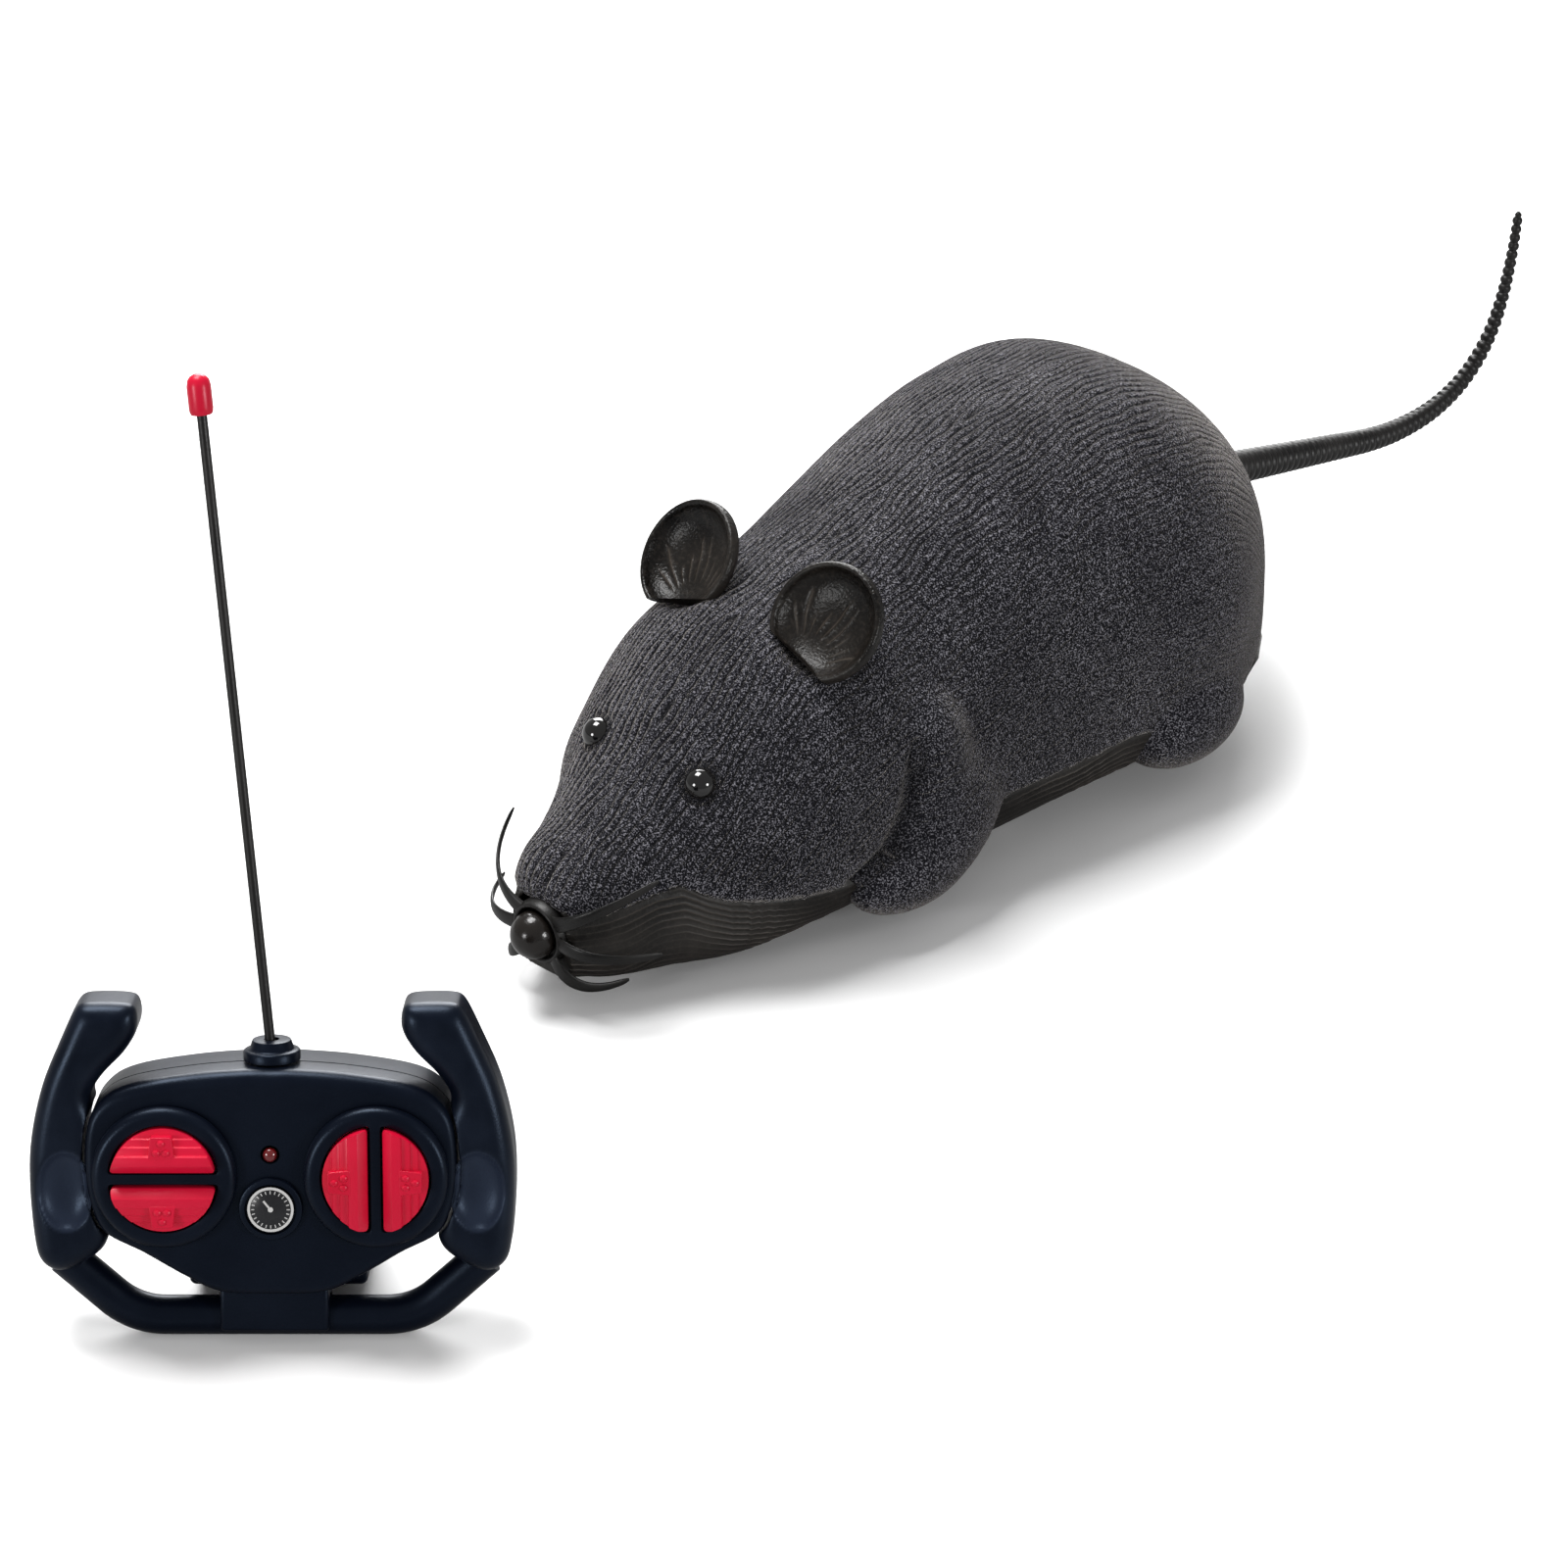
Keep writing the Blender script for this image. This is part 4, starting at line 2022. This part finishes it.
@dataclass
class ButtonPads(HandsetPart):
    """The two raised rings and their four half-round, stepped buttons."""

    ring_radius: float = 0.0084
    ring_height: float = 0.0014
    ring_round: float = 0.0011
    button_stand: float = 0.0016
    steps: tuple = (
        (0.0, 0.00100), (0.00105, 0.0), (0.0021, 0.0), (0.00225, 0.00045), (0.0031, 0.00050),
        (0.00322, 0.00080), (0.0040, 0.00085), (0.00412, 0.00113), (0.0070, 0.00118))
    island: tuple = (0.0030, 0.0024, 0.0026, 0.00006)
    corner: float = 0.0005
    dot_radius: float = 0.00044
    dot_height: float = 0.00030
    names: tuple = ((-1, "left", 0.0, ("forward_button", "reverse_button")),
                    (1, "right", 90.0, ("turn_left_button", "turn_right_button")))

    def frame(self, side: int, turn: float) -> Matrix:
        """A button's frame: X along the split, Y away from it, Z out of the face."""
        return self.facing(*self.form.pad(side)) @ turned(turn, "Z")

    @staticmethod
    def half_disc(radius: float, edge: float, corner: float) -> Array:
        """A half disc above a straight edge, as a closed row of points.

        Args:
            radius: Radius of the disc.
            edge: Height of the straight edge above the disc's middle.
            corner: How far from its two corners the rounding starts.

        Returns:
            One row per point.
        """
        start = math.asin(edge / radius)
        turn = np.linspace(start + corner / radius, math.pi - start - corner / radius, 44)
        curve = np.stack([radius * np.cos(turn), radius * np.sin(turn)], -1)
        reach = math.sqrt(radius**2 - edge**2)
        share = np.array([0.25, 0.5, 0.75, 1.0])[:, None]
        tip, foot = np.array([-reach, edge]), np.array([corner - reach, edge])
        left = bend(curve[-1], tip, foot, share)
        return np.concatenate([curve, left, (left * (-1, 1))[::-1]])

    def build_ring(self, side: int, label: str) -> None:
        """One ring with a bar across, left by the buttons' two holes.

        Args:
            side: 1 on the viewer's right and -1 on the left.
            label: Name of the side.
        """
        form, r, h, turn = self.form, self.ring_radius, self.ring_height, self.ring_round
        arc = [(r - turn + turn * math.cos(a), h - turn + turn * math.sin(a))
               for a in np.linspace(0, math.pi / 2, 9)]
        profile = [(0, 0), (r, 0), *arc, (r - turn - 0.0002, h), (0, h)]
        middle = self.frame(side, 0.0) @ Matrix.Translation((0, 0, form.gap))
        item = turned_mesh(f"{label}_pad_bezel", profile, middle, 96)
        first = self.names[0][2] if side < 0 else self.names[1][2]
        for angle in (first, first + 180):
            hole = self.half_disc(form.button_radius, form.pad_bar / 2, self.corner)
            rows = [np.column_stack([hole, np.full(len(hole), z)]) for z in (-0.003, 0.004)]
            cutter = mesh_from_arrays("hole", in_frame(np.concatenate(rows), self.frame(side, angle)),
                                      grid_faces(2, len(hole)), False)
            cut_away(item, cutter)
        rounded(item, 0.00014, 2, 50)
        creased(item, 40, self.matrix)
        self.hand_over(item, Finish.NAVY, f"{label}_pad_ring")

    def build_button(self, name: str, side: int, turn: float) -> None:
        """One stepped button with its island and three dots.

        Args:
            name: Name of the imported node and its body.
            side: 1 on the viewer's right and -1 on the left.
            turn: Turn of the button on its pad, in degrees.
        """
        form = self.form
        frame = self.frame(side, turn)
        edge, radius = form.pad_bar / 2 + form.gap, form.button_radius - form.gap
        top = form.gap + 0.0012 + self.button_stand
        foot, far = -form.wall - form.gap, self.steps[-1][0]
        line = [(far, foot), (0.0, foot), *[(place, top - drop) for place, drop in self.steps]]
        rows = [[(x, edge + place, height) for place, height in line] for x in (-0.01, 0.01)]
        item = mesh_from_arrays(
            f"{name}_cap", in_frame(np.concatenate(rows), frame), grid_faces(2, len(line)), False)
        outline = self.half_disc(radius, edge, self.corner)
        disc = slab("disc", outline * (1, -1), -0.01, 0.01, (0.0, 0.0),
                    frame @ turned(90, "X"))
        cut_away(item, disc, operation="INTERSECT")
        rounded(item, 0.00010, 2, 28)
        near, far, reach, height = self.island
        start = edge + self.steps[2][0] - 0.0002
        end = start + reach
        outline = np.array([(near / 2, start), (far / 2, end), (-far / 2, end), (-near / 2, start)])
        island = slab("island", corner_rounded(outline, 0.0003), -top - height, -top + 0.0012, (0.00010, 0.0),
                      frame @ turned(-90, "X"))
        pieces = [item, island]
        spread, middle = 2.5 * self.dot_radius, start + reach / 2
        rise = self.dot_height
        profile = [(0, rise), (0.5 * self.dot_radius, 0.92 * rise), (0.85 * self.dot_radius, 0.55 * rise),
                   (self.dot_radius, 0), (self.dot_radius, -0.0003), (0, -0.0003)]
        for x, y in ((-spread / 2, -spread / 2), (spread / 2, -spread / 2), (0, spread / 2)):
            spot = frame @ Matrix.Translation((x, middle + y, top + height))
            pieces.append(turned_mesh("dot", profile, spot, 20))
        whole = joined(f"{name}_cap", *pieces)
        creased(whole, 25, frame)
        self.hand_over(whole, Finish.RED, name, body=name)

    def build(self) -> None:
        """Builds both pads."""
        for side, label, first, names in self.names:
            self.build_ring(side, label)
            for name, turn in zip(names, (first, first + 180)):
                self.build_button(name, side, turn)


@dataclass
class HandsetDetails(HandsetPart):
    """The trim dial, the indicator lens and the antenna."""

    dial_radius: float = 0.0027
    dial_stand: float = 0.0007
    ticks: int = 24
    needle_turn: float = 38.0
    lens_radius: float = 0.0008
    lens_stand: float = 0.0008
    boot_radius: float = 0.0033
    boot_height: float = 0.0023
    rod_radius: float = 0.0006
    rod_length: float = 0.0780
    rod_lean: float = 5.0
    tip_radius: float = 0.0014
    tip_length: float = 0.0047

    def tick_tree(self) -> NodeTree:
        """The tree that sets short ticks round the dial."""
        made = NodeTree("dial_ticks", {
            "Count": ("NodeSocketInt", self.ticks), "Radius": ("NodeSocketFloat", self.dial_radius * 0.76),
            "Tick Length": ("NodeSocketFloat", 0.00036), "Tick Width": ("NodeSocketFloat", 0.00010),
            "Material": ("NodeSocketMaterial", self.paints.materials[Finish.DIAL])})
        ring = made.node("GeometryNodeMeshCircle", {
            "Vertices": made.input("Count"), "Radius": made.input("Radius")}).outputs[0]
        size = made.node("ShaderNodeCombineXYZ", {
            0: made.input("Tick Length"), 1: made.input("Tick Width"), 2: 0.00010}).outputs[0]
        tick = made.node("GeometryNodeMeshCube", {"Size": size}).outputs[0]
        share = made.maths("DIVIDE", made.node("GeometryNodeInputIndex").outputs[0], made.input("Count"))
        turn = made.node("ShaderNodeCombineXYZ", {2: made.maths("MULTIPLY", share, 2 * math.pi)}).outputs[0]
        placed = made.node("GeometryNodeInstanceOnPoints", {
            "Points": ring, "Instance": tick, "Rotation": turn})
        made.close(placed.outputs[0])
        return made

    def build_dial(self) -> None:
        """A dark disc with a white ring, ticks and a short needle."""
        frame = self.facing(0, self.form.dial_share * self.form.height, self.dial_stand)
        r = self.dial_radius
        disc = turned_mesh("dial_disc", [
            (0, -0.00010), (r - 0.0001, -0.00010), (r, -0.0002), (r, -0.0006), (0, -0.0006)], frame, 64)
        self.hand_over(disc, Finish.DISC, "dial_plate")
        ticks = self.tick_tree().run(linked("ticks", bpy.data.meshes.new("ticks")))
        ticks.data.transform(frame @ Matrix.Translation((0, 0, -0.00006)))
        ring = turned_mesh("ring", [(r - 0.00034, -0.00015), (r - 0.00034, -0.00002), (r - 0.00004, -0.00002),
                                    (r - 0.00004, -0.00015)], frame, 96)
        needle = box_object("needle", (-0.00011, 0.0, -0.00015), (0.00011, 0.0013, 0.00004),
                            frame @ turned(self.needle_turn, "Z"))
        hub = turned_mesh("hub", [
            (0, 0.00005), (0.0003, 0.00004), (0.0003, -0.00015), (0, -0.00015)], frame, 24)
        whole = joined("dial_print", ring, needle, hub, ticks)
        creased(whole, 30)
        self.hand_over(whole, Finish.DIAL)

    def build_lens(self) -> None:
        """The indicator's round lens."""
        frame = self.facing(0, self.form.lens_share * self.form.height)
        r, top = self.lens_radius, self.lens_stand
        dome = [(r * math.sin(a), top - r * 0.7 + 0.7 * r * math.cos(a))
                for a in np.linspace(0, math.pi / 2, 9)]
        item = turned_mesh("indicator_dome", [(0, dome[0][1]), *dome[1:], (r, -self.form.wall),
                                              (0, -self.form.wall)], frame, 32)
        self.hand_over(item, Finish.LENS, "indicator_lens")

    def build_antenna(self) -> None:
        """The two-stepped boot, the leaning rod and its red tip."""
        form = self.form
        top = form.housing_shares[0][1] * form.height + form.gap
        foot = self.matrix @ Matrix.Translation((0, 0, top))
        bore, r, h = self.rod_radius + form.gap, self.boot_radius, self.boot_height
        boot = turned_mesh("antenna_foot", [
            (bore, 0), (r, 0), (r, 0.40 * h), (r - 0.00010, 0.46 * h), (r - 0.00030, 0.50 * h),
            (0.80 * r, 0.53 * h), (0.77 * r, 0.58 * h), (0.70 * r, 0.90 * h), (0.67 * r, 0.98 * h),
            (0.62 * r, h), (bore, h)], foot, 64)
        creased(boot, 40)
        self.hand_over(boot, Finish.NAVY, "antenna_boot")
        lean = foot @ turned(-self.rod_lean, "Y")
        a = self.rod_radius
        rod = turned_mesh("antenna_wire", [(0, form.gap / 2), (a, form.gap / 2), (a, self.rod_length),
                                           (0, self.rod_length)], lean, 32)
        creased(rod, 40)
        self.hand_over(rod, Finish.SOFT, "antenna_rod")
        start, t = self.rod_length - self.tip_length / 2, self.tip_radius
        end = start + self.tip_length
        profile = [(0, end), (0.35 * t, end - 0.04 * t), (0.68 * t, end - 0.22 * t),
                   (0.90 * t, end - 0.52 * t), (t, end - t), (t, start + 0.5 * t),
                   (0.96 * t, start + 0.2 * t), (0.85 * t, start), (bore, start),
                   (bore, self.rod_length + form.gap), (0, self.rod_length + form.gap)]
        tip = turned_mesh("antenna_cap", profile, lean, 40)
        creased(tip, 50)
        self.hand_over(tip, Finish.RED, "antenna_tip")

    def build(self) -> None:
        """Builds every detail."""
        self.build_dial()
        self.build_lens()
        self.build_antenna()


@dataclass
class Studio:
    """Floor, soft light and the camera at the photograph's angle."""

    anchor: tuple = (0.0, 0.0, 0.026)
    azimuth: float = 43.0
    elevation: float = 30.0
    distance: float = 0.900
    pixels_per_metre: float = 7900.0
    anchor_pixel: tuple = (908.0, 644.0)
    frame_pixels: float = 1600.0
    sensor: float = 36.0

    def build(self, origin: Vector) -> None:
        """Builds the whole studio.

        Args:
            origin: The mouse's own origin in the world.
        """
        self.build_camera(origin)
        self.build_floor()
        self.build_light(origin)

    def build_camera(self, origin: Vector) -> None:
        """Sets the camera so that the anchor falls on its pixel.

        Args:
            origin: The mouse's own origin.
        """
        a, e = math.radians(self.azimuth), math.radians(self.elevation)
        back = Vector((math.sin(a) * math.cos(e), -math.cos(a) * math.cos(e), math.sin(e)))
        data = bpy.data.cameras.new("camera")
        camera = linked("camera", data)
        camera.location = origin + Vector(self.anchor) + back * self.distance
        camera.rotation_mode = "QUATERNION"
        camera.rotation_quaternion = (-back).to_track_quat("-Z", "Y")
        focal_pixels = self.pixels_per_metre * self.distance
        data.sensor_width = self.sensor
        data.lens = focal_pixels * self.sensor / self.frame_pixels
        data.shift_x = (self.frame_pixels / 2 - self.anchor_pixel[0]) / self.frame_pixels
        data.shift_y = (self.anchor_pixel[1] - self.frame_pixels / 2) / self.frame_pixels
        data.clip_start, data.clip_end = 0.01, 20.0
        bpy.context.scene.camera = camera

    def build_floor(self) -> None:
        """A plain pale floor that shows as white and keeps the shadow."""
        reach = 3.0
        points = np.array([(-1, -1, 0), (1, -1, 0), (1, 1, 0), (-1, 1, 0)]) * reach
        floor = mesh_from_arrays("floor", points, [(0, 1, 2, 3)], False)
        ink = Shader("pale_floor")
        seen = ink.node("ShaderNodeLightPath").outputs["Is Camera Ray"]
        ink.base(Base_Color=ink.mix(seen, colour(0.34, 0.34, 0.34), colour(0.98, 0.98, 0.98)), Roughness=0.9,
                 Specular_IOR_Level=0.1)
        floor.data.materials.append(ink.material)

    def build_light(self, origin: Vector) -> None:
        """A pale surround and four soft lamps.

        Args:
            origin: The mouse's own origin.
        """
        world = bpy.data.worlds.new("surround")
        bpy.context.scene.world = world
        world.use_nodes = True
        world.node_tree.nodes["Background"].inputs["Color"].default_value = colour(1.0, 1.0, 1.0)
        world.node_tree.nodes["Background"].inputs["Strength"].default_value = 0.33
        aim = origin + Vector(self.anchor)
        for label, place, shape, size, power in (
                ("top_lamp", (-0.34, -0.02, 0.93), "SQUARE", 0.45, 11.0),
                ("right_lamp", (0.93, 0.04, 0.26), "DISK", 0.26, 3.2),
                ("front_lamp", (-0.05, -0.93, 0.24), "DISK", 0.26, 2.7),
                ("rim_lamp", (-0.62, 0.62, 0.44), "SQUARE", 0.60, 12.0)):
            data = bpy.data.lights.new(label, "AREA")
            data.shape = shape
            data.size = size
            data.energy = power
            lamp = linked(label, data)
            lamp.location = aim + Vector(place)
            lamp.rotation_mode = "QUATERNION"
            lamp.rotation_quaternion = Vector(place).to_track_quat("Z", "Y")


def mouse_origin(axle_share: float = 0.038, length: float = 0.130) -> Vector:
    """The mouse's own origin in the world, found from its wheel axle.

    Args:
        axle_share: How far the axle lies behind the middle, as a share of the length.
        length: Length of the body.

    Returns:
        The origin.
    """
    low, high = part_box("wheel_axle")
    middle = (low + high) / 2
    return Vector((middle.x, middle.y - axle_share * length, 0.0))


def corners(box: tuple) -> list:
    """A box as two plain lists."""
    return [list(box[0]), list(box[1])]


def main() -> None:
    """Builds every assembly in order."""
    logging.basicConfig(level=logging.INFO, format="%(message)s")
    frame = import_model()
    bpy.context.scene.view_settings.view_transform = "Standard"
    paints = Paintbox()
    paints.dress_nodes(frame)
    origin = mouse_origin()
    matrix = Matrix.Translation(origin)
    MouseBody(paints, matrix).build()
    MouseHead(paints, matrix).build()
    Tail(paints, matrix).build()
    handset = HandsetForm().matrix(matrix)
    HandsetShell(paints, handset).build()
    ButtonPads(paints, handset).build()
    HandsetDetails(paints, handset).build()
    Studio().build(origin)


if __name__ == "__main__":
    main()
